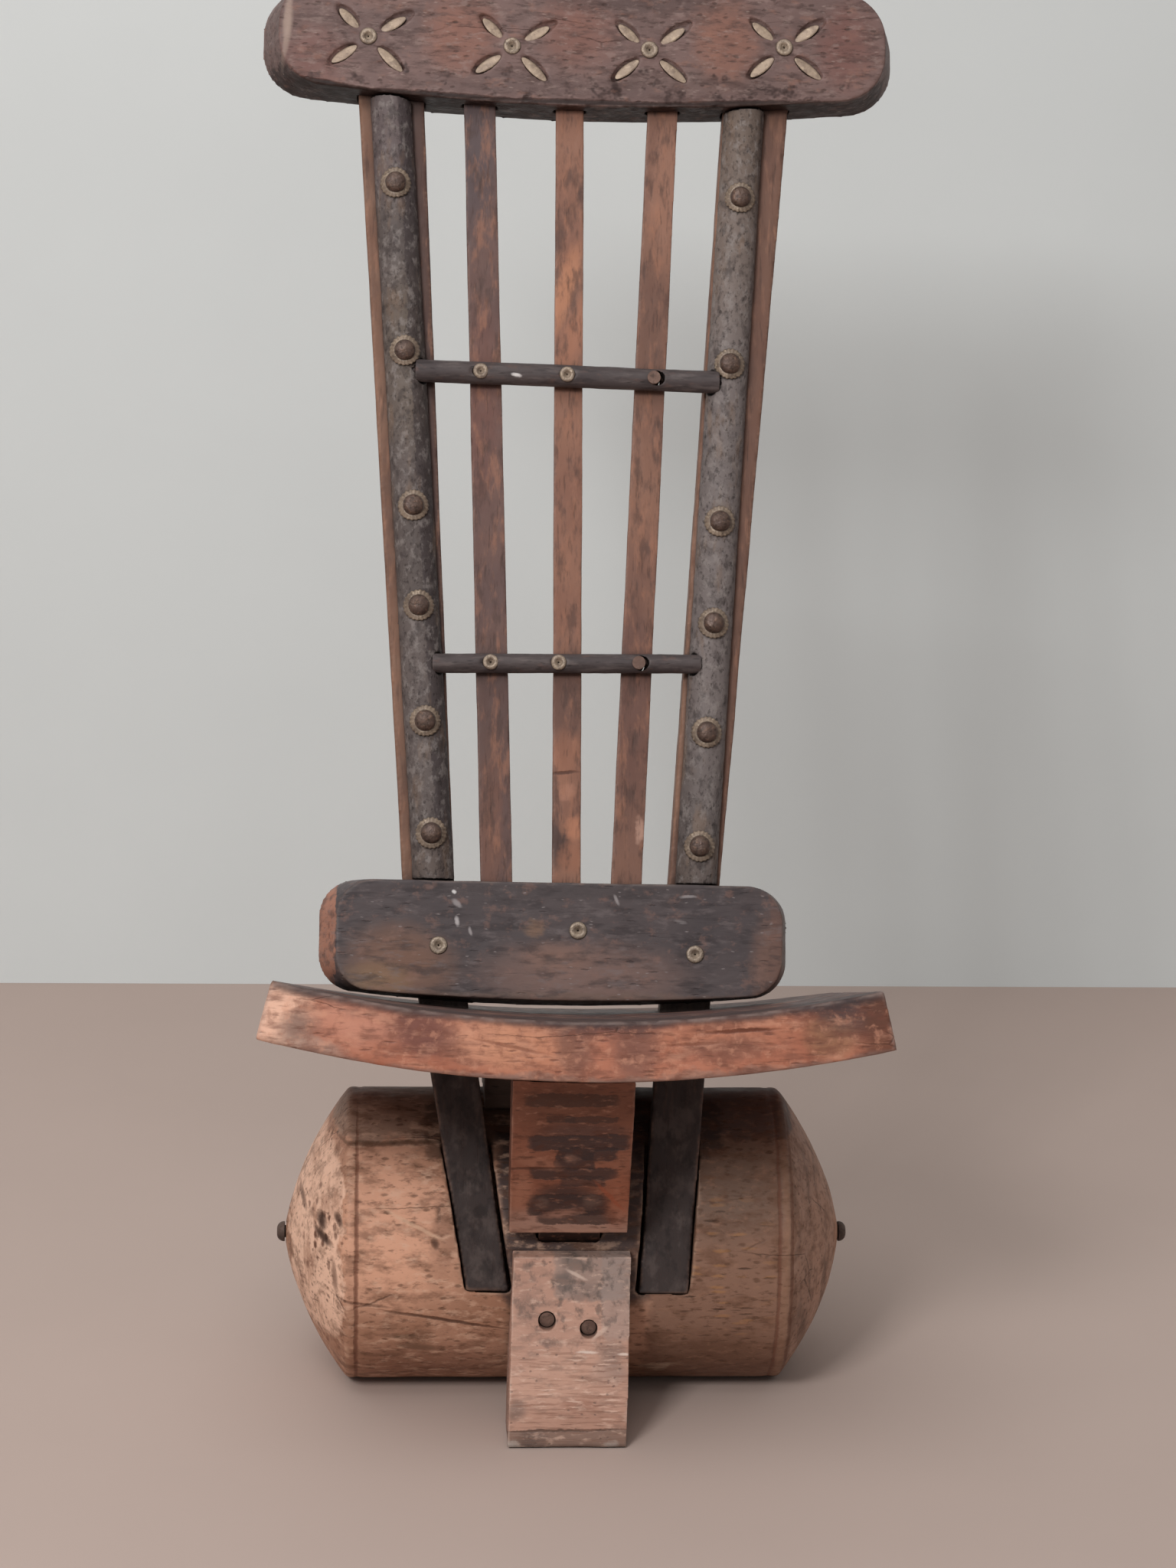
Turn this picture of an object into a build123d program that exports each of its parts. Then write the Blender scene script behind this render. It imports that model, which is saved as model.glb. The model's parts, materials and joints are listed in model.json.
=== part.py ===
from build123d import *
from math import cos, hypot, radians, sin, sqrt
import os

# A low reclining chair carved from hardwood: a log drum, a front leg, a dished seat and a tall slatted back.
# Millimetres. X runs along the drum, Y to the rear, Z up, with the origin on the floor under the drum's axis.
# Left and right are as seen by someone who stands in front of the chair.

# Clearances between pieces
fit = 0.2  # joints cut to size
curved_fit = 0.3  # coped faces and faces that follow a curve

# Drum: a log lying across the chair, with domed ends and a flat hewn along its underside
drum_radius = 95
drum_length = 281  # between the rims
dome_length = 41  # each end, from the rim to the knob
dome_fullness = 6  # how far an end bulges beyond a straight cone
rim_rounding = 5
floor_flat = 70
rim_groove_inset = 7
rim_groove_size = 2.2
knob_radius = 6.5
knob_height = 5
knob_spigot_radius = 4
knob_spigot_length = 14

# Front leg: a foot on the floor and a raked brace under the seat, both let on to the drum
leg_x = -0.8
leg_width = 75
leg_lean = 1.6  # how far the leg's foot and its top each stand to the left of its middle
foot_reach = 55  # from the drum's front to the toe
foot_toe_height = 12
foot_toe_set_back = 2
foot_rise = 24.2  # from the drum's axis to the foot's upper end
foot_top_reach = 10  # from the drum's front to the upper front edge
foot_depth = 46  # on the floor
foot_ankle_height = 38
foot_ankle_reach = 3
foot_peg_radius = 4.7
foot_peg_spots = [(-15, 75.5), (11, 71)]  # x and z
foot_peg_sink = 3.5
foot_peg_hold = 34  # how far a peg runs into the drum
brace_gap = 15  # between the foot and the brace
brace_rake = 28.2  # forward from upright, degrees
brace_thickness = 32
tenon_width = 40
tenon_thickness = 14
tenon_set_back = 9
lower_tenon_length = 40
upper_tenon_length = 18

# Seat: a thick board, dished across its width, flatter at the rear
seat_x = -3
seat_reach = 90  # from the drum's front to the top front edge, at its middle
seat_rise = 109.9  # from the drum's top to the same edge
seat_tilt = 16  # rear edge down, degrees
seat_depth = 250
seat_half_width = 182
seat_thickness = 37.3
seat_front_sag = 21.5
seat_rear_sag = 14
seat_corner_rounding = 16
seat_edge_rounding = 2

# Saddle block and its pegs, between drum and seat
saddle_x = -10
saddle_width = 88
saddle_front = -25
saddle_rear = 40
saddle_peg_radius = 5
saddle_peg_spacing = 50
saddle_peg_offset = -12  # square to the seat's slope, from the drum's axis
saddle_peg_in_drum = 23
saddle_peg_in_seat = 14

# Back: stations run up it from the top of the seat
sideways_lean = 0.8  # the whole upper part leans to the right, degrees
recline = 20
back_x = -8.5
tail_depth = 7  # how far the stiles' front faces lie below the drum's surface

# Stiles: half spacings of the inner and outer edges
stile_thickness = 16
stile_tail = {"left": (29.5, 56), "right": (53, 84)}
stile_knee_station = 62
stile_knee = (67.5, 99.5)
stile_top_station = 617
stile_top = (99.5, 142)
housing_slack = 1.5  # open line beside each tail
slot_clearance = 0.5
dowel_radius = 4
dowel_length = 22
dowel_depth_in_stile = 8

# Cover strips: half-round, nailed on the stiles
strip_width = 28
strip_height = 14.5
strip_low_station = 82.5
strip_high_station = 583
strip_low = {"left": 81.7, "right": 85.6}
strip_high = {"left": 118.9, "right": 110.9}
strip_allowance = 12  # what its blank has over at each end

# Dome nails on serrated washers
nail_stations = {"left": (531.5, 421.5, 321, 256.5, 182.5, 111), "right": (528.5, 418.5, 315.5, 249.5, 179, 106)}
nail_head_radius = 5.8
nail_head_height = 4.6
nail_head_rounding = 4.2
nail_shank_radius = 1.7
nail_reach = 27  # from inside the head to the point in the stile
washer_radius = 9.9
washer_thickness = 0.8
washer_teeth = 20
washer_tooth = 1.1

# Slats between the stiles
slat_names = ("left", "centre", "right")
slat_widths = {"left": 21.3, "centre": 19.2, "right": 20.6}
slat_low = {"left": -39, "centre": 3.6, "right": 39.2}
slat_high = {"left": -62.4, "centre": -3, "right": 58.6}
slat_low_station = 18
slat_high_station = 608
slat_thickness = 7
slat_front = 3  # ahead of the stiles' front faces

# Crossbars in front of the slats
crossbar_stations = {"upper": (409.7, 407.2), "lower": (220.4, 223.6)}  # at the left and right strips
crossbar_radius = {"upper": 7.7, "lower": 6.7}
crossbar_flat = 1.5
crossbar_inset = 5  # how far each end lies in a strip
crossbar_tenon_radius = 3.5
crossbar_tenon_length = 8

# Tubular rivets, called eyelets here, and the wooden plugs on the right slat
eyelet_tube_radius = 2.6
eyelet_bore_radius = 1.9
eyelet_flange = 0.9
rear_flange_radius = 4.5
crossbar_eyelet_radius = 5
crossbar_eyelets_at = {"upper": (-58, -2.4), "lower": (-48.2, -4.8)}
crossbar_seat_depth = 1  # flat cut in a bar's front for the flange
crossbar_plug_at = {"upper": 53.4, "lower": 46.3}
crossbar_plug_radius = 4.2
crossbar_plug_proud = 0.4
board_eyelet_radius = 5.6
board_eyelet_spots = [(-78, 39.5), (9.6, 50.3), (83.7, 36.7)]

# Lumbar board across the front of the stiles: (left, right, low end, low middle, high end, high middle)
board_thickness = 25
board_rear_outline = (-154.5, 144.5, 12.6, 3.2, 82, 82)
board_front_outline = (-142.7, 139.5, 11.4, 5.8, 81, 81)
board_corner = 24
board_edge_rounding = 1.5
tack_station = 30
tack_radius = 1.3
tack_head_radius = 3.4
tack_head_thickness = 1
tack_length = 18

# Crest rail, the same way
crest_front = 16
crest_rear = -22
crest_rear_outline = (-204.5, 211, 598.5, 585.5, 671, 665)
crest_front_outline = (-192.5, 202.5, 597.5, 585.3, 670, 664)
crest_corner = 32
crest_edge_rounding = 1.5
crest_peg_radius = 3.5
crest_peg_station = 604
crest_peg_end = 6  # ahead of the stiles' front faces

# Four-petalled flowers in the crest rail
flower_spots = [(-134.7, 627.4), (-41.6, 624), (47.7, 624.4), (135.6, 628.9)]
flower_turns = (-3, -2.5, 1.5, 2.5)
petals = [(138, 30), (34, 35), (219, 33), (-41, 33)]  # direction and reach of each petal
petal_root = 8
petal_half_width = 4
petal_recess = 2.6
inlay_thickness = 1
inlay_gap = 0.3
flower_ring_outer = 9.4
flower_ring_inner = 8
flower_ring_depth = 0.9
flower_eyelet_radius = 5.6
flower_eyelet_hold = 12

# Values worked out from those above
sides = {"left": -1, "right": 1}
drum_height = sqrt(drum_radius**2 - (floor_flat / 2) ** 2)
drum_axis = Axis((0, 0, drum_height), (1, 0, 0))
rim_x = drum_length / 2
dome_tip_x = rim_x + dome_length
nail_head_top = strip_height + washer_thickness + nail_head_height
nail_neck = nail_head_top - nail_head_height / 2  # where a shank's upper end lies in the head
crossbar_front = {bar: slat_front - crossbar_flat + 2 * radius for bar, radius in crossbar_radius.items()}
slat_back = slat_front - slat_thickness
foot_toe = -drum_radius - foot_reach
foot_top = (-drum_radius - foot_top_reach, drum_height + foot_rise)  # y and z of its upper front edge
brace_foot = (foot_top[0], foot_top[1] + brace_gap)
back_distance = drum_radius - tail_depth


def leaning_plane(x, y, z, angle, lean=0):
    """A plane that faces forward, tipped back and leaning to the right, with its Y running up the slope."""
    facing = Vector(0, -cos(radians(angle)), sin(radians(angle)))
    return Plane(origin=(x, y, z), x_dir=Vector(1, 0, 0).rotate(Axis((0, 0, 0), facing), -lean), z_dir=facing)


seat_plane = leaning_plane(
    seat_x, -drum_radius - seat_reach, drum_height + drum_radius + seat_rise, seat_tilt, sideways_lean
)
abreast = leaning_plane(
    back_x,
    -back_distance * cos(radians(recline)),
    drum_height + back_distance * sin(radians(recline)),
    recline,
    sideways_lean,
)
to_seat = seat_plane.origin - abreast.origin
to_crossing = to_seat - seat_plane.z_dir * (to_seat.dot(abreast.z_dir) / seat_plane.z_dir.dot(abreast.z_dir))
drum_station = -to_crossing.dot(abreast.y_dir)  # abreast of the drum's axis
tail_station = drum_station - sqrt(drum_radius**2 - back_distance**2)  # where the stiles' fronts leave the drum
back_plane = Plane(abreast.origin - abreast.y_dir * drum_station, x_dir=abreast.x_dir, z_dir=abreast.z_dir)
to_sitter = Axis(back_plane.origin, back_plane.z_dir)
brace_plane = leaning_plane(leg_x, *brace_foot, -brace_rake)
leg_plane = Plane.YZ.offset(leg_x)
drum_centre = Vector(0, 0, drum_height)
under_seat = seat_plane.from_local_coords((0, -seat_thickness, 0))
brace_length = (under_seat - brace_plane.origin).dot(seat_plane.y_dir) / brace_plane.y_dir.dot(seat_plane.y_dir)
seat_clearance = (under_seat - drum_centre).dot(seat_plane.y_dir)  # from the drum's axis to the seat's underside
saddle_peg_plane = Plane(
    origin=(saddle_x, 0, drum_height), x_dir=(1, 0, 0), z_dir=(0, sin(radians(seat_tilt)), cos(radians(seat_tilt)))
)
saddle_peg_start = sqrt(drum_radius**2 - saddle_peg_offset**2) - saddle_peg_in_drum
saddle_peg_length = seat_clearance + saddle_peg_in_seat - saddle_peg_start
saddle_blank_top = under_seat.Z - (saddle_front - under_seat.Y) * sin(radians(seat_tilt)) + seat_thickness / 4


def along(low, high, low_station, high_station, station):
    """The value at a station on the straight line between two others."""
    return low + (high - low) * (station - low_station) / (high_station - low_station)


def stile_outline(side, slack=0):
    """Corners of a stile in the back plane, from its tail to its end in the crest rail."""
    inner = [stile_tail[side][0] - slack, stile_knee[0], stile_top[0]]
    outer = [stile_tail[side][1], stile_knee[1], stile_top[1]]
    stations = [tail_station, stile_knee_station, stile_top_station]
    corners = list(zip(inner, stations)) + list(zip(outer, stations))[::-1]
    return [(sides[side] * x, station) for x, station in corners]


def cut_stile_slots(front, back, clearance, slack=0):
    """Opens the current part for both stiles, between two depths of the back plane."""
    for side in sides:
        with BuildSketch(back_plane.offset(front)) as slot:
            Polygon(*stile_outline(side, slack), align=None)
            offset(amount=clearance, kind=Kind.INTERSECTION)
        extrude(slot.sketch, amount=back - front, mode=Mode.SUBTRACT)


def slat_outline(name):
    """Corners of a slat in the back plane."""
    half = slat_widths[name] / 2
    low, high = slat_low[name], slat_high[name]
    return [
        (low - half, slat_low_station),
        (low + half, slat_low_station),
        (high + half, slat_high_station),
        (high - half, slat_high_station),
    ]


def slat_x(name, station):
    return along(slat_low[name], slat_high[name], slat_low_station, slat_high_station, station)


def cut_slat_slots(clearance):
    """Opens the current part for the three slats."""
    for name in slat_names:
        with BuildSketch(back_plane.offset(slat_front + clearance)) as slot:
            Polygon(*slat_outline(name), align=None)
            offset(amount=clearance, kind=Kind.INTERSECTION)
        extrude(slot.sketch, amount=-(slat_thickness + 2 * clearance), mode=Mode.SUBTRACT)


def strip_x(side, station):
    """Centre line of a cover strip."""
    half = along(strip_low[side], strip_high[side], strip_low_station, strip_high_station, station)
    return sides[side] * half


def strip_plane(side):
    """Across a cover strip at its low station, with Y pointing away from the stile."""
    low, high = strip_x(side, strip_low_station), strip_x(side, strip_high_station)
    run = back_plane.x_dir * (high - low) + back_plane.y_dir * (strip_high_station - strip_low_station)
    foot = back_plane.from_local_coords((low, strip_low_station, 0))
    return Plane(origin=foot, x_dir=back_plane.z_dir.cross(run), z_dir=run)


def strip_stock(side, gap, mode):
    """A half-round length that stands clear of a cover strip's surface by a gap, in the current part."""
    plane = strip_plane(side).offset(-strip_allowance)
    with BuildSketch(plane) as section:
        Ellipse(strip_width / 2 + gap, strip_height + gap)
        with Locations((0, -strip_height)):
            Rectangle(2 * strip_width, 2 * strip_height, mode=Mode.SUBTRACT)
    extrude(section.sketch, amount=strip_high_station - strip_low_station + 2 * strip_allowance, mode=mode)


def nail_spots(side):
    return [(strip_x(side, station), station) for station in nail_stations[side]]


def crossbar_station(bar, x):
    """Where a crossbar's centre line is, at a distance to the right of the middle."""
    left, right = crossbar_stations[bar]
    return along(left, right, strip_x("left", left), strip_x("right", right), x)


def eyelet_spots(bar):
    return [(x, crossbar_station(bar, x)) for x in crossbar_eyelets_at[bar]]


def plug_spots(bar):
    return [(crossbar_plug_at[bar], crossbar_station(bar, crossbar_plug_at[bar]))]


def crossbar_stock(bar, radius, reach, mode):
    """Round stock along a crossbar that runs on past the strips' inner edges by a reach, in the current part."""
    lift = slat_front + crossbar_radius[bar] - crossbar_flat
    ends = [
        back_plane.from_local_coords((strip_x(side, station) - sides[side] * (strip_width / 2 - reach), station, lift))
        for side, station in zip(sides, crossbar_stations[bar])
    ]
    with BuildSketch(Plane(origin=ends[0], z_dir=ends[1] - ends[0])) as section:
        Circle(radius)
    extrude(section.sketch, amount=(ends[1] - ends[0]).length, mode=mode)


def crossbar_ends(bar, clearance, mode):
    """Both whole ends of a crossbar with their tenons, in the current part."""
    crossbar_stock(bar, crossbar_radius[bar] + clearance, crossbar_inset + clearance, mode)
    crossbar_stock(bar, crossbar_tenon_radius + clearance, crossbar_inset + crossbar_tenon_length + clearance, mode)


def petal_leaf(spot, direction, root, tip, half_width):
    """One pointed leaf that points away from a spot, in the current sketch."""
    out = Vector(1, 0).rotate(Axis.Z, direction)
    across = Vector(0, half_width).rotate(Axis.Z, direction)
    start, end = Vector(*spot) + out * root, Vector(*spot) + out * tip
    middle = (start + end) * 0.5
    with BuildLine() as edge:
        ThreePointArc(start, middle + across, end)
        ThreePointArc(end, middle - across, start)
    make_face(edge.edges())


def petal_leaves(depth, inset, height, mode):
    """Every petal as a pointed leaf drawn in by an inset, on a floor below the crest's face, in the current part."""
    with BuildSketch(back_plane.offset(crest_front - depth)) as leaves:
        for spot, turn in zip(flower_spots, flower_turns):
            for direction, reach in petals:
                root, tip = petal_root + 2 * inset, reach - 2 * inset
                petal_leaf(spot, direction + turn, root, tip, petal_half_width - inset)
    extrude(leaves.sketch, amount=height, mode=mode)


def rail_face(outline):
    """A long board face with bowed edges, in the current sketch."""
    left, right, low_end, low_middle, high_end, high_middle = outline
    middle = (left + right) / 2
    with BuildLine() as edge:
        ThreePointArc((left, low_end), (middle, low_middle), (right, low_end))
        Line((right, low_end), (right, high_end))
        if high_end == high_middle:
            Line((right, high_end), (left, high_end))
        else:
            ThreePointArc((right, high_end), (middle, high_middle), (left, high_end))
        Line((left, high_end), (left, low_end))
    make_face(edge.edges())


def seat_section(sag):
    """Cross section of the dished seat, in the current sketch."""
    radius = (seat_half_width**2 + sag**2) / (2 * sag)
    lower = (radius + seat_thickness) / radius
    end = (seat_half_width, sag)
    low_end = (seat_half_width * lower, radius - (radius - sag) * lower)
    with BuildLine() as edge:
        ThreePointArc((-end[0], end[1]), (0, 0), end)
        Line(end, low_end)
        ThreePointArc(low_end, (0, -seat_thickness), (-low_end[0], low_end[1]))
        Line((-low_end[0], low_end[1]), (-end[0], end[1]))
    make_face(edge.edges())


def leg_outline(low, high, low_middle, high_middle):
    """Corners of the leg's outline from the front, between two heights."""
    half = leg_width / 2
    return [(low_middle - half, low), (low_middle + half, low), (high_middle + half, high), (high_middle - half, high)]


def tenon(start, end, clearance, mode):
    """The brace's tenon, or with a clearance its mortise, in the current part."""
    with BuildSketch(brace_plane.offset(-tenon_set_back + clearance)) as face:
        with Locations((0, (start + end) / 2)):
            Rectangle(tenon_width + 2 * clearance, end - start)
    extrude(face.sketch, amount=-(tenon_thickness + 2 * clearance), mode=mode)


def foot_peg_holes(start, end, clearance, mode):
    """Round stock at the two foot pegs between two depths along Y, in the current part."""
    with BuildSketch(Plane.XZ.offset(-start)) as section:
        with Locations(*foot_peg_spots):
            Circle(foot_peg_radius + clearance)
    extrude(section.sketch, amount=start - end, mode=mode)


def saddle_pegs_at(start, length, clearance, mode):
    """Round stock at the two saddle pegs, in the current part."""
    with BuildSketch(saddle_peg_plane.offset(saddle_peg_start + start)) as section:
        with Locations((0, saddle_peg_offset)):
            with GridLocations(saddle_peg_spacing, 0, 2, 1):
                Circle(saddle_peg_radius + clearance)
    extrude(section.sketch, amount=length, mode=mode)


def round_stock(plane, spots, radius, depth, mode=Mode.ADD):
    """Round stock that runs back from a plane at each spot, in the current part."""
    with BuildSketch(plane) as section:
        with Locations(*spots):
            Circle(radius)
    extrude(section.sketch, amount=-depth, mode=mode)


def eyelet(spots, front, back, flange_radius):
    """Tubular rivets through everything between two depths of the back plane, in the current part."""
    round_stock(back_plane.offset(front + eyelet_flange), spots, flange_radius, eyelet_flange)
    round_stock(back_plane.offset(front), spots, eyelet_tube_radius, front - back)
    round_stock(back_plane.offset(back), spots, rear_flange_radius, eyelet_flange)
    bore = front - back + 2 * eyelet_flange
    round_stock(back_plane.offset(front + eyelet_flange), spots, eyelet_bore_radius, bore, Mode.SUBTRACT)


# Blanks that several pieces are cut to
with BuildPart() as seat_blank:
    with BuildSketch(seat_plane):
        seat_section(seat_front_sag)
    with BuildSketch(seat_plane.offset(-seat_depth)):
        seat_section(seat_rear_sag)
    loft()
below_seat = seat_blank.part.moved(Location(seat_plane.y_dir * -fit))

with BuildPart() as crest_blank:
    for depth, outline in ((crest_rear, crest_rear_outline), (crest_front, crest_front_outline)):
        with BuildSketch(back_plane.offset(depth)) as rail_end:
            rail_face(outline)
            fillet(rail_end.vertices(), radius=crest_corner)
    loft()
below_crest = crest_blank.part.moved(Location(back_plane.y_dir * -fit))

with BuildPart() as board_blank:
    for depth, outline in ((0, board_rear_outline), (board_thickness, board_front_outline)):
        with BuildSketch(back_plane.offset(depth)) as board_end:
            rail_face(outline)
            fillet(board_end.vertices(), radius=board_corner)
    loft()
above_board = board_blank.part.moved(Location(back_plane.y_dir * fit))

# Where the dowels of the stiles' tails, the crest rail's pegs and the tacks go
tail_dowel_spots = [
    (
        sides[side]
        * along(sum(stile_tail[side]) / 2, sum(stile_knee) / 2, tail_station, stile_knee_station, drum_station),
        drum_station,
    )
    for side in sides
]
crest_peg_spots = [
    (side * along(sum(stile_knee) / 2, sum(stile_top) / 2, stile_knee_station, stile_top_station, crest_peg_station),
     crest_peg_station)
    for side in sides.values()
]
tack_spots = [(slat_x(name, tack_station), tack_station) for name in ("left", "right")]

with BuildPart() as drum:
    chord = hypot(dome_length, drum_radius - knob_radius)
    bulge = (dome_fullness * (drum_radius - knob_radius) / chord, dome_fullness * dome_length / chord)
    dome_middle = (rim_x + dome_length / 2 + bulge[0], (drum_radius + knob_radius) / 2 + bulge[1])
    with BuildSketch(Plane(origin=(0, 0, drum_height), x_dir=(1, 0, 0), z_dir=(0, -1, 0))) as log_profile:
        with BuildLine():
            Line((-dome_tip_x, 0), (-dome_tip_x, knob_radius))
            ThreePointArc((-dome_tip_x, knob_radius), (-dome_middle[0], dome_middle[1]), (-rim_x, drum_radius))
            Line((-rim_x, drum_radius), (rim_x, drum_radius))
            ThreePointArc((rim_x, drum_radius), dome_middle, (dome_tip_x, knob_radius))
            Polyline((dome_tip_x, knob_radius), (dome_tip_x, 0), (-dome_tip_x, 0))
        make_face()
        fillet(log_profile.vertices().group_by(Axis.Y)[-1], radius=rim_rounding)
        with Locations((-rim_x + rim_groove_inset, drum_radius), (rim_x - rim_groove_inset, drum_radius)):
            Rectangle(rim_groove_size, rim_groove_size, rotation=45, mode=Mode.SUBTRACT)
    revolve(axis=drum_axis)
    with BuildSketch(Plane.XY):
        Rectangle(2 * dome_tip_x, 2 * drum_radius)
    extrude(amount=-drum_radius, mode=Mode.SUBTRACT)
    for side in sides.values():
        with BuildSketch(Plane.YZ.offset(side * dome_tip_x)):
            with Locations((0, drum_height)):
                Circle(knob_spigot_radius + fit)
        extrude(amount=-side * (knob_spigot_length + fit), mode=Mode.SUBTRACT)
    cut_stile_slots(drum_radius, -stile_thickness - fit, fit, housing_slack)
    round_stock(
        back_plane.offset(-stile_thickness), tail_dowel_spots, dowel_radius + fit,
        dowel_length - dowel_depth_in_stile + fit, Mode.SUBTRACT,
    )
    tenon(-lower_tenon_length - fit, brace_length / 2, fit, Mode.SUBTRACT)
    foot_peg_holes(-drum_radius, -drum_radius + foot_peg_hold + fit, fit, Mode.SUBTRACT)
    saddle_pegs_at(-fit, saddle_peg_length, fit, Mode.SUBTRACT)

drum_knobs = {}
for side in sides:
    with BuildPart() as drum_knobs[side]:
        with BuildSketch(Plane.YZ.offset(sides[side] * dome_tip_x)):
            with Locations((0, drum_height)):
                Circle(knob_radius)
        extrude(amount=sides[side] * knob_height)
        fillet(drum_knobs[side].faces().sort_by(Axis.X)[0 if side == "left" else -1].edges(), knob_height * 0.9)
        with BuildSketch(Plane.YZ.offset(sides[side] * dome_tip_x)):
            with Locations((0, drum_height)):
                Circle(knob_spigot_radius)
        extrude(amount=-sides[side] * knob_spigot_length)

with BuildPart() as front_foot:
    with BuildSketch(leg_plane):
        Polygon(
            (foot_toe, 0),
            (foot_toe + foot_toe_set_back, foot_toe_height),
            foot_top,
            (-drum_radius / 2, foot_top[1]),
            (-drum_radius / 2, foot_ankle_height),
            (-drum_radius + foot_ankle_reach, foot_ankle_height),
            (foot_toe + foot_depth, 0),
            align=None,
        )
        with Locations((0, drum_height)):
            Circle(drum_radius + curved_fit, mode=Mode.SUBTRACT)
    extrude(amount=leg_width, both=True)
    with BuildSketch(Plane.XZ.offset(drum_radius / 2)):
        Polygon(*leg_outline(0, foot_top[1], leg_x - leg_lean, leg_x + leg_lean), align=None)
    extrude(amount=drum_radius, mode=Mode.INTERSECT)
    foot_peg_holes(foot_toe, -drum_radius / 2, fit, Mode.SUBTRACT)

with BuildPart() as foot_pegs:
    for x, z in foot_peg_spots:
        mouth = along(foot_toe + foot_toe_set_back, foot_top[0], foot_toe_height, foot_top[1], z) + foot_peg_sink
        with BuildSketch(Plane.XZ.offset(-mouth)):
            with Locations((x, z)):
                Circle(foot_peg_radius)
        extrude(amount=mouth - (-drum_radius + foot_peg_hold))

with BuildPart() as seat_brace:
    blank_length = brace_length + seat_thickness / 2
    with BuildSketch(brace_plane):
        Polygon(*leg_outline(-brace_thickness, blank_length, -leg_lean / 2, -2 * leg_lean), align=None)
    extrude(amount=-brace_thickness)
    with BuildSketch(leg_plane):
        with Locations((0, drum_height)):
            Circle(drum_radius + curved_fit)
        with Locations((-drum_radius, brace_foot[1])):
            Rectangle(2 * drum_radius, 2 * drum_radius, align=(Align.CENTER, Align.MAX))
    extrude(amount=leg_width, both=True, mode=Mode.SUBTRACT)
    add(below_seat, mode=Mode.SUBTRACT)
    tenon(-lower_tenon_length, brace_length / 2, 0, Mode.ADD)
    tenon(brace_length / 2, brace_length + upper_tenon_length, 0, Mode.ADD)

with BuildPart() as saddle_block:
    with BuildSketch(Plane.YZ.offset(saddle_x)):
        Polygon(
            (saddle_front, drum_height),
            (saddle_front, saddle_blank_top),
            (saddle_rear, saddle_blank_top),
            (saddle_rear, drum_height),
            align=None,
        )
        with Locations((0, drum_height)):
            Circle(drum_radius + curved_fit, mode=Mode.SUBTRACT)
    extrude(amount=saddle_width / 2, both=True)
    add(below_seat, mode=Mode.SUBTRACT)
    saddle_pegs_at(-fit, saddle_peg_length + 2 * fit, fit, Mode.SUBTRACT)

with BuildPart() as saddle_pegs:
    saddle_pegs_at(0, saddle_peg_length, 0, Mode.ADD)

with BuildPart() as seat:
    add(seat_blank.part)
    rear_corners = seat.edges().filter_by(lambda edge: abs(edge.tangent_at(0.5).dot(seat_plane.y_dir)) > 0.9)
    fillet(rear_corners.sort_by(Axis.Y)[-2:], radius=seat_corner_rounding)
    fillet(seat.faces().sort_by(Axis.Y)[0].edges(), radius=seat_edge_rounding)
    cut_stile_slots(slot_clearance, -stile_thickness - slot_clearance, slot_clearance)
    tenon(brace_length / 2, brace_length + upper_tenon_length + fit, fit, Mode.SUBTRACT)
    saddle_pegs_at(-fit, saddle_peg_length + 2 * fit, fit, Mode.SUBTRACT)

stiles = {}
for side in sides:
    with BuildPart() as stiles[side]:
        with BuildSketch(back_plane):
            Polygon(*stile_outline(side), align=None)
        extrude(amount=-stile_thickness)
        nail_end = nail_neck - nail_reach - fit
        round_stock(back_plane, nail_spots(side), nail_shank_radius + fit, -nail_end, Mode.SUBTRACT)
        round_stock(back_plane, board_eyelet_spots[::2], eyelet_tube_radius + fit, stile_thickness, Mode.SUBTRACT)
        round_stock(back_plane, crest_peg_spots, crest_peg_radius + fit, stile_thickness, Mode.SUBTRACT)
        round_stock(back_plane.offset(dowel_depth_in_stile - stile_thickness + fit), tail_dowel_spots,
                    dowel_radius + fit, dowel_depth_in_stile + fit, Mode.SUBTRACT)

with BuildPart() as tail_dowels:
    round_stock(
        back_plane.offset(dowel_depth_in_stile - stile_thickness), tail_dowel_spots, dowel_radius, dowel_length
    )

cover_strips, dome_nails, nail_washers = {}, {}, {}
for side in sides:
    with BuildPart() as cover_strips[side]:
        strip_stock(side, 0, Mode.ADD)
        add(below_crest, mode=Mode.SUBTRACT)
        add(above_board, mode=Mode.SUBTRACT)
        for bar in crossbar_stations:
            crossbar_ends(bar, fit, Mode.SUBTRACT)
        round_stock(
            back_plane.offset(nail_head_top), nail_spots(side), nail_shank_radius + fit, nail_head_top, Mode.SUBTRACT
        )

    with BuildPart() as nail_washers[side]:
        strip_stock(side, fit + washer_thickness, Mode.ADD)
        strip_stock(side, fit, Mode.SUBTRACT)
        with BuildSketch(back_plane):
            with Locations(*nail_spots(side)):
                Circle(washer_radius)
                with PolarLocations(washer_radius + washer_tooth / 3, washer_teeth):
                    Circle(washer_tooth, mode=Mode.SUBTRACT)
                Circle(nail_shank_radius + fit, mode=Mode.SUBTRACT)
        extrude(amount=nail_head_top, mode=Mode.INTERSECT)

    with BuildPart() as dome_nails[side]:
        round_stock(back_plane.offset(nail_head_top), nail_spots(side), nail_head_radius, 2 * nail_head_height)
        fillet(dome_nails[side].edges().group_by(to_sitter)[-1], radius=nail_head_rounding)
        strip_stock(side, 2 * fit + washer_thickness, Mode.SUBTRACT)
        round_stock(back_plane.offset(nail_neck), nail_spots(side), nail_shank_radius, nail_reach)

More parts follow.
